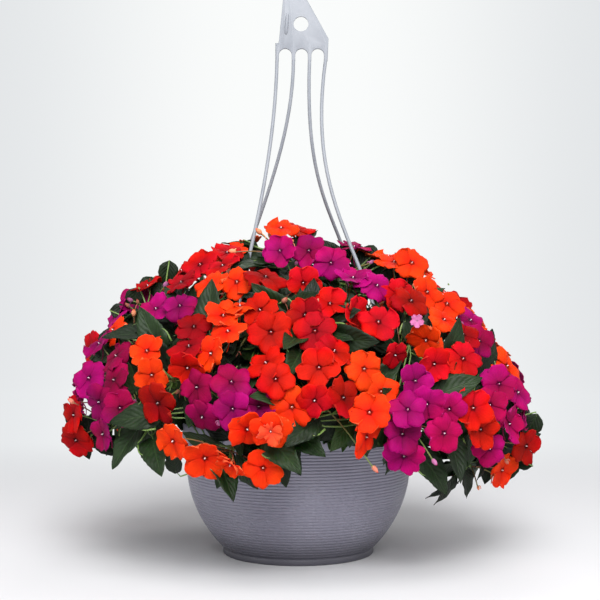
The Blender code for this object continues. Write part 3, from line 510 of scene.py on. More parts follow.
class Finish:
    """A Principled material, with short calls for the nodes that colour and roughen it."""

    def __init__(self, name, roughness, specular=0.5):
        self.material = bpy.data.materials.new(name)
        self.material.use_nodes = True
        self.tree = self.material.node_tree
        self.shader = self.tree.nodes["Principled BSDF"]
        self.shader.inputs["Roughness"].default_value = roughness
        self.shader.inputs["Specular IOR Level"].default_value = specular

    def node(self, kind, **settings):
        node = self.tree.nodes.new(kind)
        for name, value in settings.items():
            setattr(node, name, value)
        return node

    def join(self, value, socket):
        """Set a socket to a number or a colour, or link another socket to it."""
        if isinstance(value, bpy.types.NodeSocket):
            self.tree.links.new(value, socket)
        elif isinstance(value, tuple) and len(value) == 3 and socket.type == "RGBA":
            socket.default_value = (*value, 1.0)
        else:
            socket.default_value = value

    def sum(self, operation, first, second=0.0, third=0.0):
        node = self.node("ShaderNodeMath", operation=operation)
        for value, socket in zip((first, second, third), node.inputs):
            self.join(value, socket)
        return node.outputs[0]

    def mix(self, share, first, second):
        node = self.node("ShaderNodeMix", data_type="RGBA")
        self.join(share, node.inputs["Factor"])
        self.join(first, node.inputs["A"])
        self.join(second, node.inputs["B"])
        return node.outputs["Result"]

    def ramp(self, value, *stops):
        node = self.node("ShaderNodeValToRGB")
        elements = node.color_ramp.elements
        while len(elements) < len(stops):
            elements.new(0.5)
        for element, (place, colour) in zip(elements, stops):
            element.position = place
            element.color = (*colour, 1.0)
        self.join(value, node.inputs[0])
        return node.outputs["Color"]

    def fade(self, value, low, high, start=0.0, end=1.0):
        """A value that goes smoothly from start to end as another goes from low to high."""
        node = self.node("ShaderNodeMapRange", interpolation_type="SMOOTHSTEP")
        for number, socket in zip((value, low, high, start, end), node.inputs):
            self.join(number, socket)
        return node.outputs[0]

    def noise(self, scale, detail=2.0):
        node = self.node("ShaderNodeTexNoise")
        node.inputs["Scale"].default_value = scale
        node.inputs["Detail"].default_value = detail
        self.join(self.place(), node.inputs["Vector"])
        return node.outputs["Fac"]

    def place(self):
        return self.node("ShaderNodeTexCoord").outputs["Object"]

    def marks(self):
        """Along, across, tone and kind, as a piece's marks give them."""
        marks = self.node("ShaderNodeAttribute", attribute_name="marks")
        parts = self.node("ShaderNodeSeparateColor")
        self.join(marks.outputs["Color"], parts.inputs[0])
        return (*parts.outputs[:3], marks.outputs["Alpha"])

    def is_kind(self, kind, wanted, share=1.0):
        """A share where a point's kind is the wanted one, and none elsewhere."""
        return self.sum("MULTIPLY", self.sum("COMPARE", kind, float(wanted), 0.3), share)

    def axes(self):
        place = self.node("ShaderNodeSeparateXYZ")
        self.join(self.place(), place.inputs[0])
        return place.outputs

    def tint(self, colour, value, hue=0.5):
        node = self.node("ShaderNodeHueSaturation")
        self.join(colour, node.inputs["Color"])
        self.join(value, node.inputs["Value"])
        self.join(hue, node.inputs["Hue"])
        return node.outputs["Color"]

    def bump(self, height, strength, distance):
        node = self.node("ShaderNodeBump")
        node.inputs["Strength"].default_value = strength
        node.inputs["Distance"].default_value = distance
        self.join(height, node.inputs["Height"])
        self.join(node.outputs["Normal"], self.shader.inputs["Normal"])

    def colour(self, value):
        self.join(value, self.shader.inputs["Base Color"])

    def set(self, **values):
        """Plain numbers and colours on the shader's own sockets."""
        for name, value in values.items():
            self.join(value, self.shader.inputs[name.replace("_", " ")])


CAP_COLOUR = (0.90, 0.74, 0.78)
PETAL_COLOURS = {
    "orange": {"throat": (0.12, 0.003, 0.001), "deep": (0.62, 0.018, 0.001), "body": (0.82, 0.040, 0.002),
               "edge": (0.86, 0.060, 0.006), "back": (0.80, 0.13, 0.045), "bud": (0.90, 0.33, 0.17),
               "drift": (0.497, 0.501), "pale": 0.12, "dim": 0.93},
    "red": {"throat": (0.05, 0.0, 0.001), "deep": (0.34, 0.001, 0.0008), "body": (0.56, 0.0025, 0.0014),
            "edge": (0.68, 0.010, 0.006), "back": (0.62, 0.028, 0.018), "bud": (0.76, 0.26, 0.18),
            "drift": (0.497, 0.502), "pale": 0.30, "dim": 0.48},
    "magenta": {"throat": (0.06, 0.0, 0.02), "deep": (0.23, 0.0, 0.052), "body": (0.38, 0.0002, 0.092),
                "edge": (0.46, 0.002, 0.135), "back": (0.42, 0.020, 0.17), "bud": (0.62, 0.20, 0.42),
                "drift": (0.482, 0.514), "pale": 0.80, "dim": 0.55},
}


def petal_finish(colour):
    """A velvety petal: deep at its throat, finely veined, paler at its rim and on its back."""
    hues = PETAL_COLOURS[colour]
    finish = Finish("petal_" + colour, 0.66, 0.06)
    along, across, tone, kind = finish.marks()
    body = finish.ramp(along, (0.0, hues["throat"]), (0.03, hues["throat"]), (0.13, hues["deep"]),
                       (0.62, hues["body"]), (0.93, hues["body"]), (1.0, hues["edge"]))
    wander = finish.sum("MULTIPLY", finish.noise(130.0), 2.4)
    wave = finish.sum("SINE", finish.sum("MULTIPLY_ADD", across, 46.0, wander))
    veins = finish.fade(wave, 0.35, 1.0)
    veins = finish.sum("MULTIPLY", veins, finish.fade(along, 0.05, 1.0, 0.34, 0.05))
    body = finish.mix(veins, body, hues["deep"])
    # Painted shade: a faint dark line along the petal's middle, where its crease dips.
    crease_painted_shade = finish.fade(finish.sum("ABSOLUTE", finish.sum("SUBTRACT", across, 0.5)), 0.0, 0.035, 0.10, 0.0)
    body = finish.mix(crease_painted_shade, body, hues["deep"])
    mottle = finish.fade(finish.noise(70.0, 3.0), 0.25, 0.75, 0.84, 1.10)
    body = finish.tint(body, mottle, finish.fade(finish.noise(13.0, 1.0), 0.35, 0.65, *hues["drift"]))
    body = finish.mix(finish.is_kind(kind, PALE, hues["pale"]), body, hues["bud"])
    body = finish.mix(finish.is_kind(kind, BACK, 0.75), body, hues["back"])
    spur = finish.ramp(along, (0.0, hues["back"]), (1.0, hues["deep"]))
    body = finish.mix(finish.is_kind(kind, SPUR), body, spur)
    bud = finish.ramp(along, (0.0, (0.30, 0.42, 0.12)), (0.25, hues["bud"]), (0.7, hues["bud"]),
                      (1.0, hues["body"]))
    body = finish.mix(finish.is_kind(kind, BUD), body, bud)
    body = finish.mix(finish.is_kind(kind, CAP), body, CAP_COLOUR)
    finish.colour(finish.tint(body, finish.fade(tone, 0.0, 1.0, hues["dim"], 1.06)))
    cells = finish.noise(1500.0, 1.0)
    ridges = finish.sum("MULTIPLY_ADD", wave, 0.35, finish.sum("MULTIPLY", cells, 0.8))
    finish.bump(ridges, 0.25, 0.0004)
    finish.set(Subsurface_Weight=0.10, Subsurface_Radius=(0.004, 0.0012, 0.0010), Subsurface_Scale=1.0,
               Sheen_Weight=0.02, Sheen_Roughness=0.45, Sheen_Tint=hues["back"])
    return finish.material


def leaf_finish():
    """A satin leaf: dark green with paler veins, quilted between them, and pale underneath."""
    finish = Finish("leaf", 0.50, 0.22)
    along, across, tone, kind = finish.marks()
    off = finish.sum("ABSOLUTE", finish.sum("MULTIPLY_ADD", across, 2.0, -1.0))
    wander = finish.sum("MULTIPLY", finish.noise(60.0), 0.9)
    turn = finish.sum("MULTIPLY_ADD", along, 46.0, finish.sum("MULTIPLY_ADD", off, -17.0, wander))
    wave = finish.sum("COSINE", turn)
    side_veins = finish.sum("MULTIPLY", finish.fade(wave, 0.90, 1.0), finish.fade(off, 0.75, 1.0, 1.0, 0.2))
    midrib = finish.fade(off, 0.03, 0.09, 1.0, 0.0)
    veins = finish.sum("MAXIMUM", finish.sum("MULTIPLY", side_veins, 0.35), midrib)
    patches = finish.fade(finish.noise(45.0, 3.0), 0.3, 0.7)
    young = finish.fade(tone, 0.55, 1.0)
    body = finish.mix(patches, (0.0060, 0.015, 0.0036), (0.0120, 0.029, 0.0064))
    body = finish.mix(young, body, (0.034, 0.070, 0.013))
    body = finish.mix(finish.sum("MULTIPLY", veins, 0.26), body, (0.050, 0.090, 0.028))
    body = finish.mix(finish.is_kind(kind, BACK, 0.8), body, (0.045, 0.080, 0.028))
    finish.colour(finish.tint(body, finish.fade(tone, 0.0, 0.6, 0.36, 1.10)))
    quilt = finish.sum("MULTIPLY", finish.fade(wave, -1.0, 1.0, 1.0, 0.0), 0.5)
    relief = finish.sum("SUBTRACT", quilt, finish.sum("MULTIPLY", veins, 0.8))
    grain = finish.sum("MULTIPLY", finish.noise(700.0, 2.0), 0.30)
    finish.bump(finish.sum("ADD", relief, grain), 0.65, 0.0007)
    finish.set(Subsurface_Weight=0.06, Subsurface_Radius=(0.0010, 0.0030, 0.0008), Subsurface_Scale=1.0)
    return finish.material


def stalk_finish():
    """A fleshy, slightly glassy stalk: pale green, flushed red in places."""
    finish = Finish("stalk", 0.38, 0.5)
    along, across, tone, kind = finish.marks()
    flush = finish.fade(finish.sum("ADD", finish.noise(40.0), tone), 0.8, 1.5)
    body = finish.mix(flush, (0.16, 0.26, 0.060), (0.30, 0.075, 0.040))
    streak = finish.fade(finish.sum("SINE", finish.sum("MULTIPLY", across, 50.0)), -1.0, 1.0, 0.88, 1.06)
    finish.colour(finish.tint(body, streak))
    finish.bump(finish.noise(500.0, 2.0), 0.25, 0.0003)
    finish.set(Subsurface_Weight=0.12, Subsurface_Radius=(0.002, 0.003, 0.001), Subsurface_Scale=1.0)
    return finish.material


def bowl_finish():
    """Satin moulded plastic in bluish grey, faintly speckled and scuffed, with painted shade darkening it
    towards the bottom and a lighter upper side.
    """
    finish = Finish("bowl_plastic", 0.42, 0.5)
    speckle = finish.fade(finish.noise(1300.0, 2.0), 0.56, 0.72)
    cloud = finish.fade(finish.noise(14.0, 3.0), 0.3, 0.7)
    body = finish.mix(cloud, (0.243, 0.235, 0.305), (0.272, 0.264, 0.335))
    body = finish.mix(finish.sum("MULTIPLY", speckle, 0.35), body, (0.36, 0.35, 0.42))
    scuff = finish.sum("MULTIPLY", finish.fade(finish.noise(160.0, 4.0), 0.62, 0.75), 0.22)
    body = finish.mix(scuff, body, (0.17, 0.165, 0.21))
    height = finish.axes()[2]
    # Painted shade: the colour darkens towards the bottom of the bowl and is a little lighter up its side, as
    # the light falls.
    low = finish.fade(height, 0.0, 0.045, 0.42, 1.0)
    side = finish.fade(height, 0.0, 0.11, 0.60, 1.03)
    finish.colour(finish.tint(body, finish.sum("MULTIPLY", low, side)))
    finish.set(Roughness=finish.fade(finish.noise(36.0, 3.0), 0.3, 0.7, 0.36, 0.50))
    finish.bump(finish.noise(900.0, 3.0), 0.16, 0.0002)
    return finish.material


def hanger_finish():
    """Satin moulded plastic in light grey, with faint flow marks and rubbed patches."""
    finish = Finish("hanger_plastic", 0.40, 0.35)
    cloud = finish.fade(finish.noise(30.0, 3.0), 0.3, 0.7)
    body = finish.mix(cloud, (0.250, 0.266, 0.300), (0.298, 0.315, 0.350))
    rub = finish.sum("MULTIPLY", finish.fade(finish.noise(240.0, 4.0), 0.60, 0.78), 0.25)
    finish.colour(finish.mix(rub, body, (0.18, 0.195, 0.22)))
    finish.set(Roughness=finish.fade(finish.noise(60.0, 3.0), 0.3, 0.7, 0.34, 0.50))
    finish.bump(finish.noise(420.0, 3.0), 0.14, 0.0002)
    return finish.material


def soil_finish():
    """Moist potting mix, dark with paler fibres."""
    finish = Finish("potting_mix", 0.92, 0.2)
    grain = finish.noise(260.0, 5.0)
    body = finish.ramp(grain, (0.25, (0.010, 0.007, 0.005)), (0.5, (0.035, 0.022, 0.014)),
                       (0.72, (0.085, 0.055, 0.035)), (0.85, (0.20, 0.15, 0.10)))
    finish.colour(body)
    finish.bump(finish.noise(420.0, 5.0), 0.9, 0.0012)
    return finish.material


def petal(skin, bloom, way, out, tone, edges, draw):
    """One petal: a broad blade, notched at its end, ruffled, and over or under its neighbours."""
    length = bloom["reach"]
    side = out.cross(way)
    along = np.linspace(0.0, 1.0, PETAL_ROWS)[:, None]
    across = np.linspace(-1.0, 1.0, PETAL_COLUMNS)[None, :]
    half = length * PETAL_WIDTH * (0.12 + 0.88 * (1.0 - (1.0 - along) ** 1.85)) * bloom["wide"]
    half = half * (1.0 - 0.20 * np.maximum((along - 0.6) / 0.4, 0.0) ** 2)
    ripple = draw.uniform(0.0, 6.3)
    lap = draw.uniform(0.0, 6.3)
    notch = bloom["notch"] * np.exp(-((across - bloom["skew"]) / 0.22) ** 2)
    end = 1.0 - 0.36 * np.abs(across) ** 2.4 - 0.16 * np.abs(across) ** 9 - notch
    end = end + 0.025 * np.sin(6.0 * across + lap)
    reach = PETAL_START + (1.0 - PETAL_START) * along * (1.0 - (1.0 - end) * along ** 1.5)
    sway = 0.22 * bloom["skew"] * along ** 2
    sway = sway + 0.030 * np.sin(7.0 * along + lap + across) * along * across ** 2
    height = bloom["cup"] * along ** 2 + bloom["roll_back"] * across ** 2 * along
    overlap = np.maximum(across, 0.0) * edges[1] + np.maximum(-across, 0.0) * edges[0]
    height = height + 0.026 * along * overlap
    height = height + bloom["ruffle"] * along ** 2 * np.sin(4.0 * across + ripple)
    height = height + bloom["ruffle"] * 0.7 * along ** 3 * np.sin(9.0 * across - ripple + 3.0 * along)
    height = height + bloom["hump"] * np.sin(math.pi * along) * (1.0 - across ** 2)
    height = height + bloom["fold"] * along ** 2 * np.maximum(across * bloom["fold_side"] - 0.1, 0.0) ** 1.5
    height = height - 0.018 * np.exp(-(across / 0.15) ** 2) * np.sin(math.pi * along)
    grid = (np.array(bloom["centre"]) + np.array(way) * (length * reach)[..., None]
            + np.array(side) * (across * half + length * sway)[..., None]
            + np.array(out) * (length * height)[..., None])
    skin.shell(grid, PETAL_THICK, grid_marks(along, across, tone, bloom["kind"]), BACK)


def turn_bloom(bloom, hub, draw):
    """Turn a bloom as the picture shows it, or nod it at random, and draw it in to the outline."""
    side, up = frame_of(bloom["facing"])
    nod = side * draw.uniform(-0.36, 0.36) + up * draw.uniform(-0.36, 0.36)
    bloom["double"] = pixels_apart(bloom["centre"], DOUBLE_BLOOM) < NEAR_PIXELS
    bloom["kind"] = FACE
    nearest = min(TURNED, key=lambda pixel: pixels_apart(bloom["centre"], pixel))
    if pixels_apart(bloom["centre"], nearest) < NEAR_PIXELS / 2.0:
        right, rise, size = TURNED[nearest]
        nod = Vector((right, 0.0, rise)) + nod * 0.3
        bloom["reach"] *= size
    bloom["facing"] = (bloom["facing"] + nod).normalized()
    beyond = min(beyond_outline(bloom["centre"]), 16.0) / 16.0
    bloom["centre"] = bloom["centre"].lerp(hub, 0.42 * beyond)
    bloom["reach"] *= 1.0 - 0.15 * beyond


def bloom_petals(skin, bloom, hub, draw):
    """A bloom's five petals, its anther cap and its spur.

    The topmost petal is short and broad and leans forward, and the lower ones are long.
    """
    turn_bloom(bloom, hub, draw)
    side, up = frame_of(bloom["facing"])
    tone = draw.uniform(0.15, 0.95)
    bloom["cup"] = draw.choice((-0.10, -0.04, 0.0, 0.04, 0.10, 0.20))
    bloom["notch"] = draw.uniform(0.03, 0.12)
    overs = [draw.choice((-1.0, 1.0)) for _ in range(5)]
    reach = bloom["reach"] * PETAL_GROWTH
    for index in range(5):
        turn = math.radians(bloom["roll"] + 72.0 * index + draw.uniform(-6.0, 6.0))
        way = spoke(side, up, turn)
        topmost = max(way.z, 0.0) ** 2
        bloom["wide"] = draw.uniform(0.88, 1.08) * (1.0 + 0.12 * topmost)
        bloom["reach"] = reach * draw.uniform(0.95, 1.05) * (1.0 - 0.08 * topmost)
        bloom["roll_back"] = draw.uniform(-0.20, 0.05)
        bloom["ruffle"] = draw.uniform(0.015, 0.060)
        bloom["hump"] = draw.uniform(0.0, 0.10)
        bloom["skew"] = draw.uniform(-0.25, 0.25)
        bloom["fold"] = draw.choice((0.0, 0.0, 0.0, 0.35, -0.35))
        bloom["fold_side"] = draw.choice((-1.0, 1.0))
        tilted, out = lean(way, bloom["facing"], draw.uniform(-0.15, 0.13) + 0.08 * topmost)
        edges = (-overs[index - 1], overs[index])
        petal(skin, bloom, tilted, out, min(max(tone + draw.uniform(-0.25, 0.25), 0.0), 1.0), edges, draw)
    centre = bloom["centre"]
    facing = bloom["facing"]
    if bloom["double"]:
        inner_petals(skin, bloom, reach, draw)
    bloom["reach"] = reach
    cap = [centre + facing * rise for rise in (-0.0004, 0.0006, 0.0014, 0.0022, 0.0026)]
    skin.tube(cap, (0.0006, 0.0008, 0.0007, 0.0005, 0.0002), 6, (tone, CAP))
    length = SPUR_LENGTH * draw.uniform(0.8, 1.1)
    bend = (DOWN - facing * DOWN.dot(facing) * 0.5 + side * draw.uniform(-0.4, 0.4)).normalized()
    start = centre - facing * 0.0006
    back = start - facing * length * 0.42
    spur = bezier((start, start - facing * length * 0.24, back + bend * length * 0.20,
                   back + bend * length * 0.68 + facing * length * 0.10), 9)
    skin.tube(spur, (0.0021, 0.0019, 0.0014, 0.0010, 0.0008, 0.0007, 0.0006, 0.0006, 0.0005), 6, (tone, SPUR))


def inner_petals(skin, bloom, reach, draw):
    """The pale inner petals of a double bloom, raised and crowded."""
    side, up = frame_of(bloom["facing"])
    bloom["kind"] = PALE
    for index in range(7):
        turn = math.radians(51.4 * index + draw.uniform(-10.0, 10.0))
        way = spoke(side, up, turn)
        bloom["reach"] = reach * draw.uniform(0.45, 0.80)
        bloom["wide"] = draw.uniform(0.7, 0.9)
        tilted, out = lean(way, bloom["facing"], draw.uniform(0.3, 1.1))
        petal(skin, bloom, tilted, out, draw.uniform(0.5, 1.0), (1.0, -1.0), draw)


def bud(skin, stalks, root, tip, length, tone):
    """A closed bud on its stalk, with its small hooked spur."""
    way = (tip - root).normalized()
    side = frame_of(way, 360.0 * tone)[0]
    shares = (-0.02, 0.10, 0.30, 0.52, 0.74, 0.90, 1.0)
    widths = (0.10, 0.26, 0.36, 0.35, 0.26, 0.13, 0.03)
    places = [tip + way * length * share + side * length * 0.05 * math.sin(3.0 * share) for share in shares]
    skin.tube(places, [length * width * 0.75 for width in widths], 8, (tone, BUD))
    hook = bezier((tip + way * length * 0.2, tip + side * length * 0.55,
                   tip + side * length * 0.7 + DOWN * 0.002, tip + side * length * 0.75 + DOWN * 0.006), 6)
    skin.tube(hook, (0.0009, 0.0008, 0.0007, 0.0006, 0.0005, 0.0004), 5, (tone, BUD))
    sag = (tip - root).length * 0.08
    middle = (root + tip) / 2.0 - DOWN * sag
    stalks.tube(bezier((root, middle, middle, tip + way * 0.001), 7), [STALK_RADIUS] * 7, 5, (tone, FACE))


def bloom_stalk(skin, bloom, hub, draw):
    """A bloom's stalk from the hub to behind its face, with two small sepals."""
    facing = bloom["facing"]
    top = bloom["centre"] - facing * 0.0018
    span = (top - bloom["root"]).length
    start = hub + (bloom["root"] - hub) * 0.2
    places = bezier((start, start.lerp(top, 0.35) - DOWN * 0.002, top - facing * span * 0.30, top), 9)
    tone = draw.random()
    skin.tube(places, [STALK_RADIUS * 1.3] + [STALK_RADIUS] * 6 + [STALK_RADIUS * 1.2, STALK_RADIUS * 1.9],
              6, (tone, FACE))
    side = frame_of(facing, draw.uniform(0.0, 180.0))[0]
    for hand in (-1.0, 1.0):
        way = (side * hand - facing * 0.5).normalized()
        leaf_blade(skin, top - facing * 0.0016, way, facing, 0.0045, 0.0026, tone, (5, 3), 0.0)


def leaf_blade(skin, base, axis, up, length, width, tone, grid_size=LARGE_LEAF_GRID, teeth=0.05,
               ripple=0.0):
    """A blade folded along its midrib, toothed at its edge and bent down towards its pointed tip."""
    rows, columns = grid_size
    side = axis.cross(up).normalized()
    up = side.cross(axis).normalized()
    along = np.linspace(0.0, 1.0, rows)[:, None]
    across = np.linspace(-1.0, 1.0, columns)[None, :]
    outline = np.sin(math.pi * along ** 0.74) ** 0.72 * (1.0 - 0.30 * along ** 2)
    outline = outline / outline.max()
    cut = 1.0 - teeth * (np.arange(rows)[:, None] % 2) * (along > 0.08) * (along < 0.97)
    half = width / 2.0 * np.maximum(outline * cut, 0.012)
    fold = 0.30 * np.abs(across) * half
    wave = length * (0.010 + ripple) * np.sin(along * 17.0 + 2.0 * np.sign(across)) * np.abs(across) ** 2
    quilt = length * 0.006 * np.sin(along * 46.0 - np.abs(across) * 17.0) * np.sin(math.pi * np.abs(across))
    height = fold + wave + quilt - LEAF_BEND * length * along ** 2
    grid = (np.array(base) + np.array(axis) * (length * along + 0.0 * across)[..., None]
            - np.array(side) * (across * half)[..., None] + np.array(up) * height[..., None])
    skin.shell(grid, LEAF_THICK, grid_marks(along, across, tone), BACK)


def leaf(skin, stalks, root, base, axis, up, length, width, tone, **options):
    """A leaf on its stalk."""
    leaf_blade(skin, base, axis, up, length, width, tone, **options)
    end = base + axis * length * 0.10
    places = bezier((root, root.lerp(base, 0.35), base - axis * (base - root).length * 0.25, end), 6)
    radii = [0.0014, 0.0013, 0.0012, 0.0011, 0.0009, 0.0005]
    stalks.tube(places, radii, 5, (tone * 0.5, FACE))


def branch(stalks, plant, spray, draw):
    """A fleshy branch from inside a plant's core to a spray's hub, swollen at its joints."""
    foot = plant[0] + Vector((0.0, 0.0, 0.085))
    knot = spray["knot"]
    low = foot.lerp(plant[1], 0.5)
    places = list(bezier((low, plant[1].lerp(knot, 0.35), knot - spray["axis"] * 0.03, knot), 12))
    places += [np.array(knot.lerp(spray["hub"], share)) for share in (0.35, 0.7, 1.0)]
    places.append(np.array(spray["hub"] + spray["axis"] * 0.005))
    radii = [0.0040 - 0.0012 * step / 15 + 0.0007 * (step in (5, 11)) for step in range(15)] + [0.0016]
    stalks.tube(places, radii, 8, (draw.random() * 0.6, FACE))


def small_leaves(skin, stalks, spray, draw):
    """A rosette of young leaves round a spray's hub, under its blooms."""
    side, up = frame_of(spray["axis"], draw.uniform(0.0, 360.0))
    for count in range(SMALL_LEAVES):
        turn = math.radians(137.5 * count + draw.uniform(-14.0, 14.0))
        around = spoke(side, up, turn)
        tilt = math.radians(draw.uniform(52.0, 112.0))
        way = spray["axis"] * math.cos(tilt) + around * math.sin(tilt)
        start = spray["knot"].lerp(spray["hub"], count / SMALL_LEAVES)
        length = draw.uniform(0.036, 0.060)
        base = start + way * draw.uniform(0.006, 0.018)
        leaf(skin, stalks, start, base, way, spray["axis"] + way * 0.2, length,
             length * draw.uniform(0.52, 0.62), draw.uniform(0.05, 0.80), grid_size=SMALL_LEAF_GRID,
             ripple=0.012)


def rim_leaf(skin, stalks, plant, tip, draw):
    """A small leaf that hangs over the rim on a pale stalk."""
    root = core_surface(plant, tip)
    way = Vector((draw.uniform(-0.6, 0.6), -0.45, draw.uniform(-1.0, 0.2))).normalized()
    length = draw.uniform(0.018, 0.030)
    leaf(skin, stalks, root, tip, way, Vector((0.0, -0.4, 1.0)).normalized(), length, length * 0.55,
         draw.uniform(0.5, 1.0), grid_size=RIM_LEAF_GRID)


def fill_leaf(skin, stalks, spray, pixel, draw):
    """A leaf behind a spray's blooms, where the picture shows no light through the mound."""
    depth = spray["hub"].y + draw.uniform(0.004, 0.030)
    if pixel[1] < TOP_ROWS_END:
        depth = max(depth, 0.0)
    middle = on_sight(pixel, depth)
    turn = draw.uniform(0.0, 2.0 * math.pi)
    way = Vector((math.cos(turn), draw.uniform(-0.3, 0.3), math.sin(turn))).normalized()
    length = draw.uniform(0.030, 0.042)
    up = Vector((draw.uniform(-0.4, 0.4), -1.0, draw.uniform(0.0, 0.6))).normalized()
    # Their low tone, 0.0 to 0.3, is painted shade for leaves deep in the mound.
    leaf(skin, stalks, spray["knot"], middle - way * length * 0.5, way, up, length, length * 0.66,
         draw.uniform(0.0, 0.3), grid_size=SMALL_LEAF_GRID, ripple=0.010)


def core_leaves(skin, stalks, plant, draw):
    """Leaves all over a plant's core, laid over each other like slates."""
    centre, sizes, turn = plant[1:]
    spin = Matrix.Rotation(turn, 3, "Z")
    for index in range(CORE_LEAVES):
        height = 1.0 - 2.0 * (index + 0.5) / CORE_LEAVES
        around = index * math.radians(137.508)
        flat = math.sqrt(1.0 - height * height)
        ball = Vector((flat * math.cos(around), flat * math.sin(around), height))
        place = centre + spin @ Vector([part * size * 0.84 for part, size in zip(ball, sizes)])
        out = (spin @ Vector([part / size for part, size in zip(ball, sizes)])).normalized()
        side, up = frame_of(out, draw.uniform(0.0, 360.0))
        way = (out * draw.uniform(0.35, 0.8) + side * 0.75 + DOWN * 0.20).normalized()
        length = draw.uniform(0.040, 0.060)
        leaf(skin, stalks, place - out * 0.012, place + way * 0.004, way, out, length,
             length * draw.uniform(0.50, 0.58), draw.uniform(0.0, 0.55), grid_size=SMALL_LEAF_GRID)


def painted_shade_core(skin, plant):
    """The inside of a plant, uneven, behind its leaves, given the darkest leaf tone as painted shade."""
    centre, sizes, turn = plant[1:]
    ball = bmesh.new()
    bmesh.ops.create_icosphere(ball, subdivisions=4, radius=1.0)
    points = []
    for vert in ball.verts:
        lump = 0.80 + 0.12 * noise.noise(vert.co * 3.1) + 0.05 * noise.noise(vert.co * 9.0)
        points.append(centre + Matrix.Rotation(turn, 3, "Z")
                      @ Vector([part * size * lump for part, size in zip(vert.co, sizes)]))
    faces = [tuple(vert.index for vert in face.verts) for face in ball.faces]
    # Tone 0.0 gives the lump the darkest leaf green: painted shade for the plant's shaded inside.
    skin.add(points, faces, [(0.5, 0.3, 0.0, FACE)] * len(points))
    ball.free()


def grow_plants(sprays, finishes):
    """Every plant: its stem, branches and leaves."""
    draw = random.Random(11)
    for index, plant in enumerate(PLANTS):
        node = "foliage_%d" % (index + 1)
        leaves = Skin()
        stalks = Skin()
        painted_shade_core(leaves, plant)
        core_leaves(leaves, stalks, plant, draw)
        foot, centre = plant[:2]
        stem = bezier((foot, foot + Vector((0.0, 0.0, 0.06)), centre.lerp(foot, 0.4), centre), 10)
        stalks.tube(stem, [STEM_RADIUS * (1.0 - 0.03 * step) for step in range(10)], 12, (0.5, FACE))
        for spray in sprays:
            if spray["plant"] == index:
                branch(stalks, plant, spray, draw)
                small_leaves(leaves, stalks, spray, draw)
        for pixel in RIM_LEAVES_SEEN:
            tip = on_sight(pixel, RIM_LEAF_DEPTH)
            if nearest_plant(tip) == index:
                rim_leaf(leaves, stalks, plant, tip, draw)
        for pixel in FILL_LEAVES_SEEN:
            spray = nearest_spray(sprays, pixel)
            if spray["plant"] == index:
                fill_leaf(leaves, stalks, spray, pixel, draw)
        for large in read_leaves(node):
            middle = large["base"] + large["axis"] * large["length"] * 0.6
            beyond = min(beyond_outline(middle), 12.0) / 12.0
            large["length"] *= 1.0 - 0.5 * beyond
            large["base"] = large["base"].lerp(large["root"], 0.95 * beyond)
            leaf(leaves, stalks, large["root"], large["base"], large["axis"], large["up"], large["length"],
                 large["width"] * LEAF_GROWTH, draw.uniform(0.10, 0.70), ripple=draw.uniform(0.0, 0.012))
        leaves.piece("leaves_%d" % (index + 1), finishes["leaf"], "leaf", node)
        stalks.piece("stems_%d" % (index + 1), finishes["stalk"], "leaf")


def lilac_bloom(skin, stalks, root, centre, draw):
    """The small pale bloom deep among the others."""
    bloom = {"centre": centre, "facing": (EYE - centre).normalized(), "kind": PALE, "cup": 0.3, "notch": 0.08,
             "reach": 0.0085, "wide": 0.95, "ruffle": 0.05, "roll_back": -0.1, "hump": 0.05, "skew": 0.0,
             "fold": 0.0, "fold_side": 1.0}
    side, up = frame_of(bloom["facing"])
    for index in range(5):
        turn = math.radians(20.0 + 72.0 * index)
        way = spoke(side, up, turn)
        petal(skin, bloom, way, bloom["facing"], 0.9, (1.0, -1.0), draw)
    places = bezier((root, root.lerp(centre, 0.4), root.lerp(centre, 0.8), centre), 6)
    stalks.tube(places, [STALK_RADIUS] * 6, 5, (0.5, FACE))


def nearest_spray(sprays, pixel):
    """The spray whose hub shows nearest to a pixel."""
    return min(sprays, key=lambda spray: pixels_apart(spray["hub"], pixel))


def grow_sprays(sprays, finishes):
    """Every spray: its blooms with their stalks, and a few buds."""
    draw = random.Random(5)
    lilac_spray = nearest_spray([spray for spray in sprays if spray["colour"] == "magenta"], LILAC_SEEN)
    for spray in sprays:
        blooms = Skin()
        stalks = Skin()
        hub = spray["hub"] + spray["axis"] * 0.004
        for bloom in spray["blooms"]:
            bloom_petals(blooms, bloom, hub, draw)
            bloom_stalk(stalks, bloom, hub, draw)
        for pixel, colour in BUDS_SEEN.items():
            if nearest_spray([other for other in sprays if other["colour"] == colour], pixel) is spray:
                tip = on_sight(pixel, hub.y - 0.034)
                bud(blooms, stalks, hub, tip, BUD_LENGTH * draw.uniform(0.9, 1.2), draw.uniform(0.4, 1.0))
        if spray is lilac_spray:
            near = [other["centre"].y for each in sprays for other in each["blooms"]
                    if pixels_apart(other["centre"], LILAC_SEEN) < LILAC_NEAR]
            lilac_bloom(blooms, stalks, hub, on_sight(LILAC_SEEN, min(near + [hub.y]) - 0.010), draw)
        side, up = frame_of(spray["axis"], draw.uniform(0.0, 360.0))
        for count in range(draw.choice((1, 2))):
            turn = math.radians(180.0 * count + draw.uniform(-30.0, 30.0))
            way = spray["axis"] * 0.8 + side * math.cos(turn) * 0.6 + up * math.sin(turn) * 0.6
            tip = hub + way.normalized() * draw.uniform(0.024, 0.036)
            bud(blooms, stalks, hub, tip, BUD_LENGTH * draw.uniform(0.6, 1.0), draw.random())
        number = spray["node"].split("_", 1)[1]
        blooms.piece("petals_" + number, finishes[spray["colour"]], "petal_" + spray["colour"], spray["node"])
        stalks.piece("stalks_" + number, finishes["stalk"], "leaf")


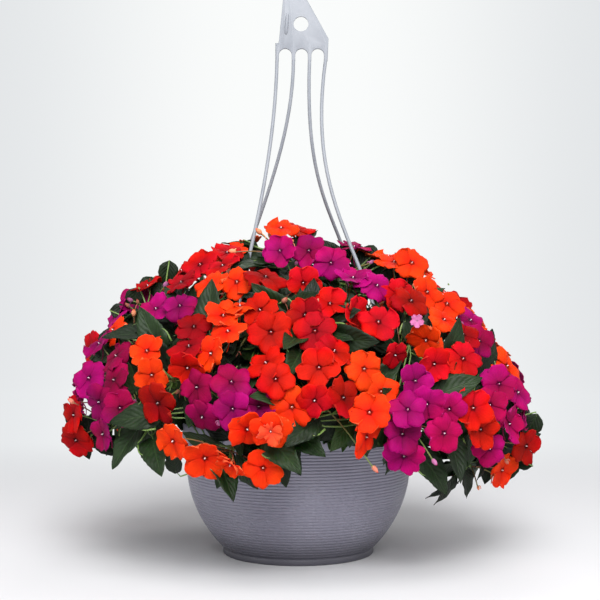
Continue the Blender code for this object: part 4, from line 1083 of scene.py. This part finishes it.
def bowl_line(height):
    """The bowl's outer radius at a height below its rim band: a round foot and a straight side."""
    top = (RIM_RADIUS - RIM_STEP, RIM_TOP - RIM_BAND)
    if height >= BOWL_SHOULDER[1]:
        share = (height - BOWL_SHOULDER[1]) / (top[1] - BOWL_SHOULDER[1])
        return BOWL_SHOULDER[0] + (top[0] - BOWL_SHOULDER[0]) * share
    share = 0.5
    for step in range(2, 20):
        bend = (1 - share) ** 2 * FOOT_HEIGHT + 2 * (1 - share) * share * BOWL_TURN[1]
        share += 0.5 ** step if bend + share ** 2 * BOWL_SHOULDER[1] < height else -0.5 ** step
    return ((1 - share) ** 2 * FOOT_RADIUS + 2 * (1 - share) * share * BOWL_TURN[0]
            + share ** 2 * BOWL_SHOULDER[0])


def inner_line(height):
    """The bowl's inner radius at a height."""
    if height > RIM_TOP - RIM_BAND:
        return RIM_RADIUS - WALL
    return bowl_line(max(height, FOOT_HEIGHT)) - RIB_DEPTH - WALL


def turned(name, outline, sides, finish):
    """An outline of (radius, height) turned round the Z axis, closed at both ends on the axis."""
    points = []
    rings = []
    faces = []
    for radius, height in outline:
        rings.append(len(points))
        if radius == 0.0:
            points.append((0.0, 0.0, height))
            continue
        for step in range(sides):
            turn = 2.0 * math.pi * step / sides
            points.append((radius * math.cos(turn), radius * math.sin(turn), height))
    for index in range(len(rings) - 1):
        low, high = rings[index], rings[index + 1]
        for step in range(sides):
            after = (step + 1) % sides
            if index == 0:
                faces.append((low, high + after, high + step))
            elif index == len(rings) - 2:
                faces.append((high, low + step, low + after))
            else:
                faces.append((low + step, low + after, high + after, high + step))
    return new_body(name, points, faces, finish)


def apply_modifiers(body):
    """Put a body's modifiers into its mesh."""
    graph = bpy.context.evaluated_depsgraph_get()
    mesh = bpy.data.meshes.new_from_object(body.evaluated_get(graph))
    body.modifiers.clear()
    body.data = mesh
    return body


def smooth(body, angle=35.0):
    """Shade a body smooth, but for its sharp edges."""
    body.data.shade_smooth()
    body.data.set_sharp_from_angle(angle=math.radians(angle))
    return body


def combine(body, others, operation):
    """Join other bodies to a body, or cut them from it."""
    for other in others:
        step = body.modifiers.new("Combine", "BOOLEAN")
        step.operation = operation
        step.solver = "EXACT"
        step.object = other
    bpy.context.view_layer.update()
    apply_modifiers(body)
    for other in others:
        bpy.data.objects.remove(other)
    return body


def rod(name, low, high, radius, sides, finish):
    """A straight round rod."""
    skin = Skin()
    skin.tube([low, low.lerp(high, 0.5), high], [radius] * 3, sides, (0.0, 0.0))
    return skin.body(name, finish)


def make_bowl(finish):
    """The bowl: a plain foot, fine round ribs, a plain rim band and a smooth inside."""
    band = RIM_TOP - RIM_BAND
    low = FOOT_HEIGHT + 0.0012
    outline = [(0.0, 0.0012), (0.088, 0.0012), (0.0895, 0.0), (FOOT_RADIUS - 0.0012, 0.0),
               (FOOT_RADIUS - 0.0003, 0.0005), (FOOT_RADIUS, 0.0014), (FOOT_RADIUS, FOOT_HEIGHT - 0.0012),
               (FOOT_RADIUS - 0.0004, FOOT_HEIGHT - 0.0003)]
    pitch = (band - low) / RIB_COUNT
    for rib in range(RIB_COUNT):
        for share, sink in ((0.0, 1.0), (0.14, 0.55), (0.34, 0.08), (0.56, 0.0), (0.76, 0.14), (0.92, 0.72)):
            height = low + pitch * (rib + share)
            outline.append((bowl_line(height) - RIB_DEPTH * sink * 0.85, height))
    outline += [(RIM_RADIUS - RIM_STEP - RIB_DEPTH, band), (RIM_RADIUS - 0.0005, band + 0.0001),
                (RIM_RADIUS, band + 0.0006), (RIM_RADIUS, RIM_TOP - 0.0012),
                (RIM_RADIUS - 0.0004, RIM_TOP - 0.0003), (RIM_RADIUS - 0.0012, RIM_TOP),
                (RIM_RADIUS - WALL + 0.0010, RIM_TOP), (RIM_RADIUS - WALL + 0.0003, RIM_TOP - 0.0003)]
    outline += [(inner_line(height), height) for height in (*INNER_HEIGHTS, FLOOR_TOP + 0.001)]
    outline += [(0.096, FLOOR_TOP), (0.0, FLOOR_TOP)]
    body = turned("bowl", outline, BOWL_SIDES, finish)
    drains = []
    for index in range(DRAIN_COUNT):
        turn = 2.0 * math.pi * (index + 0.5) / DRAIN_COUNT
        place = Vector((math.cos(turn), math.sin(turn), 0.0)) * DRAIN_RING
        drains.append(rod("drain", place - Vector((0, 0, 0.01)), place + Vector((0, 0, 0.02)),
                          DRAIN_RADIUS, 24, finish))
    combine(body, drains, "DIFFERENCE")
    return dress(smooth(body, 50.0), "pot", "pot")


def make_soil(finish):
    """The potting mix: crumbly on top, with loose crumbs pressed in."""
    draw = random.Random(3)
    top_radius = inner_line(SOIL_TOP) - SOIL_GAP
    outline = [(0.0, FLOOR_TOP + 0.0006)]
    outline += [(inner_line(height) - SOIL_GAP, height + 0.0010)
                for height in (FLOOR_TOP, 0.030, 0.070, 0.110)]
    outline.append((top_radius, SOIL_TOP - 0.004))
    outline += [(top_radius * share, SOIL_TOP) for share in np.linspace(0.995, 0.02, 44)]
    outline.append((0.0, SOIL_TOP))
    body = turned("potting_mix", outline, 110, finish)
    for vert in body.data.vertices:
        if vert.co.z > SOIL_TOP - 0.001:
            rough = noise.fractal(vert.co * 60.0, 1.0, 2.0, 4) * 0.0022 + noise.noise(vert.co * 14.0) * 0.0018
            vert.co.z += rough + 0.001
    crumbs = bmesh.new()
    crumbs.from_mesh(body.data)
    for _ in range(CRUMB_COUNT):
        radius = top_radius * 0.97 * math.sqrt(draw.random())
        turn = draw.uniform(0.0, 2.0 * math.pi)
        size = draw.uniform(0.0010, 0.0032)
        place = Matrix.Translation((radius * math.cos(turn), radius * math.sin(turn), SOIL_TOP + 0.0012))
        spin = Matrix.Rotation(draw.uniform(0.0, 6.0), 4, (draw.random(), draw.random(), 1.0))
        shape = Matrix.Diagonal((1.0, draw.uniform(0.6, 1.0), draw.uniform(0.5, 0.8), 1.0))
        bmesh.ops.create_icosphere(crumbs, subdivisions=1, radius=size, matrix=place @ spin @ shape)
    crumbs.to_mesh(body.data)
    crumbs.free()
    return dress(smooth(body, 60.0), "soil", "soil")


def arc(centre, radius, start, end, steps):
    """Points along an arc in the hanger's plane, from one angle to another in degrees."""
    turns = [math.radians(start + (end - start) * step / steps) for step in range(steps + 1)]
    return [(centre[0] + radius * math.cos(turn), centre[1] + radius * math.sin(turn)) for turn in turns]


def prism(name, near, along, finish, bevel):
    """A flat outline made solid along a way, with its edges rounded."""
    count = len(near)
    faces = [tuple(range(count)), tuple(reversed(range(count, 2 * count)))]
    faces += [(step, step + count, (step + 1) % count + count, (step + 1) % count) for step in range(count)]
    body = new_body(name, near + [point + along for point in near], faces, finish)
    edge = body.modifiers.new("Edges", "BEVEL")
    edge.width = bevel
    edge.segments = 3
    edge.limit_method = "ANGLE"
    edge.angle_limit = math.radians(40.0)
    bpy.context.view_layer.update()
    return apply_modifiers(body)


def strand_places(strand):
    """Points down one strand, from inside the plate to inside its clip."""
    across, turn, lean, top_hold, clip_hold = strand
    turn = math.radians(turn)
    radius = RIM_RADIUS - WALL / 2.0
    top = Vector((across, 0.0, STRAND_TOP))
    end = Vector((radius * math.cos(turn), radius * math.sin(turn), CLIP_TOP - 0.004))
    bends = (top, top + Vector((lean, 0, -1)) * top_hold, end + Vector((0, 0, clip_hold)), end)
    return [np.array(top + Vector((0, 0, 0.020)))] + list(bezier(bends, STRAND_STEPS))


def clip_outline(strand):
    """The outline of the clip at a strand's lower end, and the way across it."""
    turn = math.radians(strand[1])
    out = Vector((math.cos(turn), math.sin(turn), 0.0))
    side = Vector((-out.y, out.x, 0.0))
    outline = (
        (CLIP_INNER[0], CLIP_BOTTOM), (CLIP_INNER[1], CLIP_BOTTOM), (CLIP_INNER[1], CLIP_SLOT),
        (CLIP_OUTER[0], CLIP_SLOT), (CLIP_OUTER[0], CLIP_BOTTOM), (CLIP_OUTER[1], CLIP_BOTTOM),
        (CLIP_OUTER[1], CLIP_TOP), (CLIP_INNER[0], CLIP_TOP),
    )
    near = [out * radius - side * CLIP_WIDTH / 2 + Vector((0, 0, height)) for radius, height in outline]
    return near, side * CLIP_WIDTH


def plate_outline():
    """The hanger's flat plate, arched between its strands, with the hook above it."""
    outline = [(-0.0205, 0.738), (-0.0259, 0.684)]
    for index, strand in enumerate(STRANDS):
        left = strand[0] - STRAND_RADIUS
        right = strand[0] + STRAND_RADIUS
        outline += [(left, ARCH_FOOT), (right, ARCH_FOOT)]
        if index < 3:
            reach = (STRANDS[index + 1][0] - STRAND_RADIUS - right) / 2
            outline += arc((right + reach, ARCH_SPRING), reach, 180.0, 0.0, 16)
    outline += [(0.0405, 0.686), (0.0117, 0.738), (0.0020, 0.7605)]
    outline += arc(HOOK_CENTRE, HOOK_INNER, 228.0, -48.0, 40)
    outline += arc(HOOK_CENTRE, HOOK_OUTER, -42.0, 196.0, 40)
    return [Vector((x, -HANGER_DEPTH / 2, z)) for x, z in outline]


def make_hanger(finish):
    """The hanger, moulded in one piece: plate, hook, strands and rim clips."""
    plate = prism("hanger_plastic", plate_outline(), Vector((0.0, HANGER_DEPTH, 0.0)), finish, 0.0007)
    centre = Vector((PLATE_HOLE[0], 0.0, PLATE_HOLE[1]))
    reach = Vector((0.0, 0.01, 0.0))
    combine(plate, [rod("hole", centre - reach, centre + reach, PLATE_HOLE_RADIUS, 40, finish)], "DIFFERENCE")
    strands = Skin()
    for strand in STRANDS:
        places = strand_places(strand)
        strands.tube(places, [STRAND_RADIUS] * len(places), STRAND_SIDES, (0.0, 0.0))
    raised = [(-0.0165, 0.6935), (-0.0145, 0.7185)]
    capsule = [Vector((x, -HANGER_DEPTH / 2 - 0.0002, z)) for x, z in raised]
    strands.tube([capsule[0].lerp(capsule[1], share) for share in (-0.08, 0.0, 0.2, 0.5, 0.8, 1.0, 1.08)],
                 (0.0006, 0.0019, 0.0024, 0.0024, 0.0024, 0.0019, 0.0006), 12, (0.0, 0.0))
    clips = [prism("clip", *clip_outline(strand), finish, 0.0006) for strand in STRANDS]
    combine(plate, [strands.body("strands"), *clips], "UNION")
    return dress(smooth(plate, 40.0), "hanger", "hanger")


def stage_finish(name, glow):
    """Pale paper, which glows more the further it is from the object, as under studio lights."""
    finish = Finish(name, 0.90, 0.1)
    across, away = finish.axes()[:2]
    flat = finish.sum("SQRT", finish.sum("MULTIPLY_ADD", across, across,
                                         finish.sum("MULTIPLY", away, away)))
    share = finish.fade(flat, 0.55, FLOOR_RADIUS) if glow else 1.0
    finish.colour(finish.mix(share, (0.765, 0.765, 0.78), (0.0, 0.0, 0.0)))
    depth = finish.sum("ADD", finish.sum("ABSOLUTE", away), STAGE_DEPTH)
    aside = finish.sum("DIVIDE", finish.sum("ABSOLUTE", across), depth)
    hue = finish.mix(finish.fade(aside, *GLOW_SPAN), (0.985, 1.0, 0.995), (0.955, 0.980, 1.0))
    strength = finish.fade(aside, *GLOW_SPAN, BACKDROP_GLOW, BACKDROP_EDGE_GLOW)
    finish.set(Emission_Color=hue, Emission_Strength=finish.sum("MULTIPLY", share, strength))
    return finish.material


def make_stage():
    """A pale round floor, and a seamless backdrop that curves up all round it."""
    floor = turned("floor", [(0.0, -0.02), (FLOOR_RADIUS, -0.02), (FLOOR_RADIUS, 0.0), (0.8, 0.0), (0.4, 0.0),
                             (0.0, 0.0)], STAGE_SIDES, stage_finish("floor_paper", True))
    wall = [(0.0, -0.03), (FLOOR_RADIUS - 0.002, -0.03), (FLOOR_RADIUS, -0.0005), (3.0, -0.0005)]
    for step in range(1, 13):
        turn = math.radians(90.0 * step / 12)
        wall.append((3.0 + 1.5 * math.sin(turn), 1.5 - 1.5 * math.cos(turn)))
    wall += [(4.5, 5.0), (0.0, 5.0)]
    backdrop = turned("backdrop", wall, STAGE_SIDES, stage_finish("backdrop_paper", False))
    backdrop.visible_diffuse = False
    backdrop.visible_shadow = False
    smooth(backdrop)


def area_light(name, place, target, size, power):
    """A square soft light that shines at a point."""
    light = bpy.data.lights.new(name, "AREA")
    light.shape = "SQUARE"
    light.size = size
    light.energy = power
    body = bpy.data.objects.new(name, light)
    body.location = place
    body.rotation_euler = (Vector(target) - Vector(place)).to_track_quat("-Z", "Y").to_euler()
    bpy.context.scene.collection.objects.link(body)


def light_and_look():
    """Soft studio lights and the camera at the photograph's viewing angle."""
    world = bpy.data.worlds.new("studio")
    world.use_nodes = True
    world.node_tree.nodes["Background"].inputs["Color"].default_value = (0.97, 0.98, 1.0, 1.0)
    world.node_tree.nodes["Background"].inputs["Strength"].default_value = 0.26
    bpy.context.scene.world = world
    area_light("key", (0.10, -1.70, 2.20), (0.0, 0.0, 0.25), 1.7, 54.0)
    area_light("front", (0.20, -2.60, 1.75), (0.0, 0.0, 0.20), 1.2, 60.0)
    area_light("left", (-1.9, -0.9, 0.55), (0.0, 0.0, 0.15), 1.0, 6.0)
    area_light("right", (1.9, -0.7, 0.50), (0.0, 0.0, 0.10), 1.0, 5.0)
    area_light("back", (0.4, 1.6, 1.9), (0.0, 0.0, 0.4), 1.2, 11.0)
    camera = bpy.data.cameras.new("camera")
    camera.lens = LENS
    camera.sensor_width = SENSOR_WIDTH
    camera.shift_x = SHIFT_ACROSS
    body = bpy.data.objects.new("camera", camera)
    body.location = EYE
    body.rotation_euler = (math.radians(90.0), 0.0, 0.0)
    bpy.context.scene.collection.objects.link(body)
    bpy.context.scene.camera = body
    bpy.context.scene.view_settings.view_transform = "Standard"


def make():
    """Dress every node of the frame."""
    finishes = {colour: petal_finish(colour) for colour in PETAL_COLOURS}
    finishes.update(leaf=leaf_finish(), stalk=stalk_finish())
    sprays = [read_spray(node) for node in sorted(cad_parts) if node.startswith("blooms_")]
    grow_plants(sprays, finishes)
    grow_sprays(sprays, finishes)
    make_bowl(bowl_finish())
    make_soil(soil_finish())
    make_hanger(hanger_finish())
    make_stage()
    light_and_look()


make()
